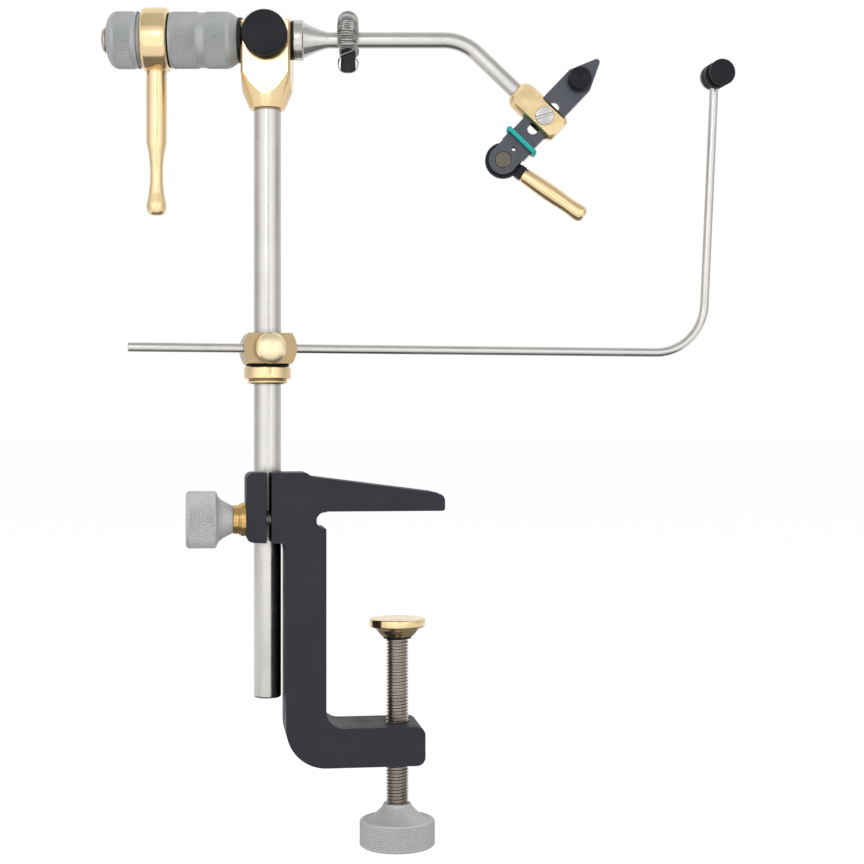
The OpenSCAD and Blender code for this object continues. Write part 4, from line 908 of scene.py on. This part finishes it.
def glowing(name, glow):
    material = bpy.data.materials.new(name)
    material.use_nodes = True
    tree = material.node_tree
    tree.nodes.clear()
    light = addNode(tree, "ShaderNodeEmission", Color=(1, 1, 1, 1), Strength=glow)
    output = addNode(tree, "ShaderNodeOutputMaterial")
    tree.links.new(light.outputs[0], output.inputs["Surface"])
    return material


def directRays(tree):
    # 1 for what the camera sees, also in metal and through clear pieces
    rays = addNode(tree, "ShaderNodeLightPath")
    seen = sums(tree, "ADD", rays.outputs["Is Camera Ray"], rays.outputs["Is Glossy Ray"])
    return sums(tree, "ADD", seen, rays.outputs["Is Transmission Ray"], clamp=True)


def stagePiece(bm, name, material):
    mesh = bpy.data.meshes.new(name)
    bm.to_mesh(mesh)
    bm.free()
    mesh.materials.append(material)
    piece = bpy.data.objects.new(name, mesh)
    bpy.context.scene.collection.objects.link(piece)
    return piece


def onlyInMetal(piece):
    piece.visible_camera = False
    piece.visible_diffuse = False
    piece.visible_shadow = False
    piece.visible_transmission = False
    piece.visible_volume_scatter = False


def flatCard(size, place):
    # a rectangle, its face turned along the place's own Z
    bm = bmesh.new()
    bmesh.ops.create_grid(bm, x_segments=1, y_segments=1, size=0.5)
    bmesh.ops.scale(bm, verts=bm.verts, vec=(size[0], size[1], 1))
    bm.transform(place)
    return bm


turnToView = Matrix.Rotation(radians(studio["facing"]), 4, "Z")
for card in studio["cards"]:
    right, back, above = card["at"]
    spot = middle + viewRight * right + viewBack * back + up * above
    onlyInMetal(stagePiece(flatCard(card["size"], Matrix.Translation(spot) @ turnToView), card["name"],
                           glowing(card["name"], card["glow"])))
for card in studio["faceCards"]:
    face = Vector(card["of"]) * mm
    spot = around(card["azimuth"], card["elevation"], card["distance"]) - middle + face
    turn = (spot - face).to_track_quat("Z", "Y").to_matrix().to_4x4()
    onlyInMetal(stagePiece(flatCard(card["size"], Matrix.Translation(spot) @ turn), card["name"],
                           glowing(card["name"], card["glow"])))

# the surround: a drum round the object, brighter and darker with the azimuth
surround = glowing("surround", 2.0)
tree = surround.node_tree
spots = addNode(tree, "ShaderNodeTexCoord")
mapping = addNode(tree, "ShaderNodeMapping", {"vector_type": "TEXTURE"}, Vector=spots.outputs["Object"])
mapping.inputs["Location"].default_value = middle
mapping.inputs["Rotation"].default_value = (0, 0, radians(studio["facing"] - 90))
compass = addNode(tree, "ShaderNodeTexGradient", {"gradient_type": "RADIAL"}, Vector=mapping.outputs[0])
bands = addNode(tree, "ShaderNodeValToRGB", Fac=compass.outputs[1])
stops = bands.color_ramp.elements
for i, (azimuth, glow) in enumerate(studio["surround"]):
    share = 0.5 + azimuth / 360
    stop = stops[0] if i == 0 else stops[-1] if i == len(studio["surround"]) - 1 else stops.new(share)
    stop.position = share
    stop.color = (glow / 2, glow / 2, glow / 2, 1)
tree.links.new(bands.outputs[0], tree.nodes["Emission"].inputs["Color"])
bm = bmesh.new()
start = around(0, 0, studio["reach"])
low, high = (bm.verts.new((start.x, start.y, height)) for height in studio["surroundHeight"])
edge = bm.edges.new((low, high))
bmesh.ops.spin(bm, geom=[low, high, edge], cent=(middle.x, middle.y, 0), axis=(0, 0, 1), angle=tau, steps=72,
               use_merge=True)
onlyInMetal(stagePiece(bm, "surround", surround))

bm = bmesh.new()
bmesh.ops.create_grid(bm, x_segments=2, y_segments=2, size=studio["floorReach"])
bmesh.ops.translate(bm, verts=bm.verts, vec=(0, 0, studio["floor"] * mm))
floorMaterial = bpy.data.materials.new("paleFloor")
floorMaterial.use_nodes = True
tree = floorMaterial.node_tree
paint = tree.nodes["Principled BSDF"]
paint.inputs["Base Color"].default_value = (*studio["floorPaint"], 1)
paint.inputs["Roughness"].default_value = studio["floorRough"]
paint.inputs["Specular IOR Level"].default_value = 0.0
white = addNode(tree, "ShaderNodeEmission", Color=(1, 1, 1, 1), Strength=studio["floorGlow"])
blend = addNode(tree, "ShaderNodeMixShader", Fac=sums(tree, "MULTIPLY", directRays(tree), studio["floorShare"]))
tree.links.new(paint.outputs[0], blend.inputs[1])
tree.links.new(white.outputs[0], blend.inputs[2])
tree.links.new(blend.outputs[0], tree.nodes["Material Output"].inputs["Surface"])
stagePiece(bm, "paleFloor", floorMaterial)

for lamp in studio["lamps"]:
    light = bpy.data.lights.new(lamp["name"], "AREA")
    light.shape = "RECTANGLE"
    light.size, light.size_y = lamp["size"]
    light.energy = lamp["glow"] * lamp["size"][0] * lamp["size"][1] * tau / 2
    holder = bpy.data.objects.new(lamp["name"], light)
    holder.location = around(lamp["azimuth"], lamp["elevation"], lamp["distance"])
    holder.rotation_euler = (holder.location - middle).to_track_quat("Z", "Y").to_euler()
    holder.visible_glossy = False
    bpy.context.scene.collection.objects.link(holder)

world = bpy.data.worlds.new("studioWhite")
bpy.context.scene.world = world
world.use_nodes = True
tree = world.node_tree
shade = addNode(tree, "ShaderNodeMix", {"data_type": "RGBA"}, Factor=directRays(tree))
shade.inputs[6].default_value = (*studio["around"], 1)
shade.inputs[7].default_value = (*studio["white"], 1)
tree.links.new(shade.outputs[2], tree.nodes["Background"].inputs["Color"])

camera = bpy.data.objects.new("photoCamera", bpy.data.cameras.new("photoCamera"))
camera.data.lens = 68.75
camera.data.sensor_width = 36.0
camera.data.clip_end = 100.0
camera.location = Vector((-63.5, -583.4, 27.5)) * mm
camera.rotation_euler = (radians(90), 0, radians(studio["facing"]))
bpy.context.scene.collection.objects.link(camera)
bpy.context.scene.camera = camera
bpy.context.scene.view_settings.view_transform = "Standard"
print("studio made")
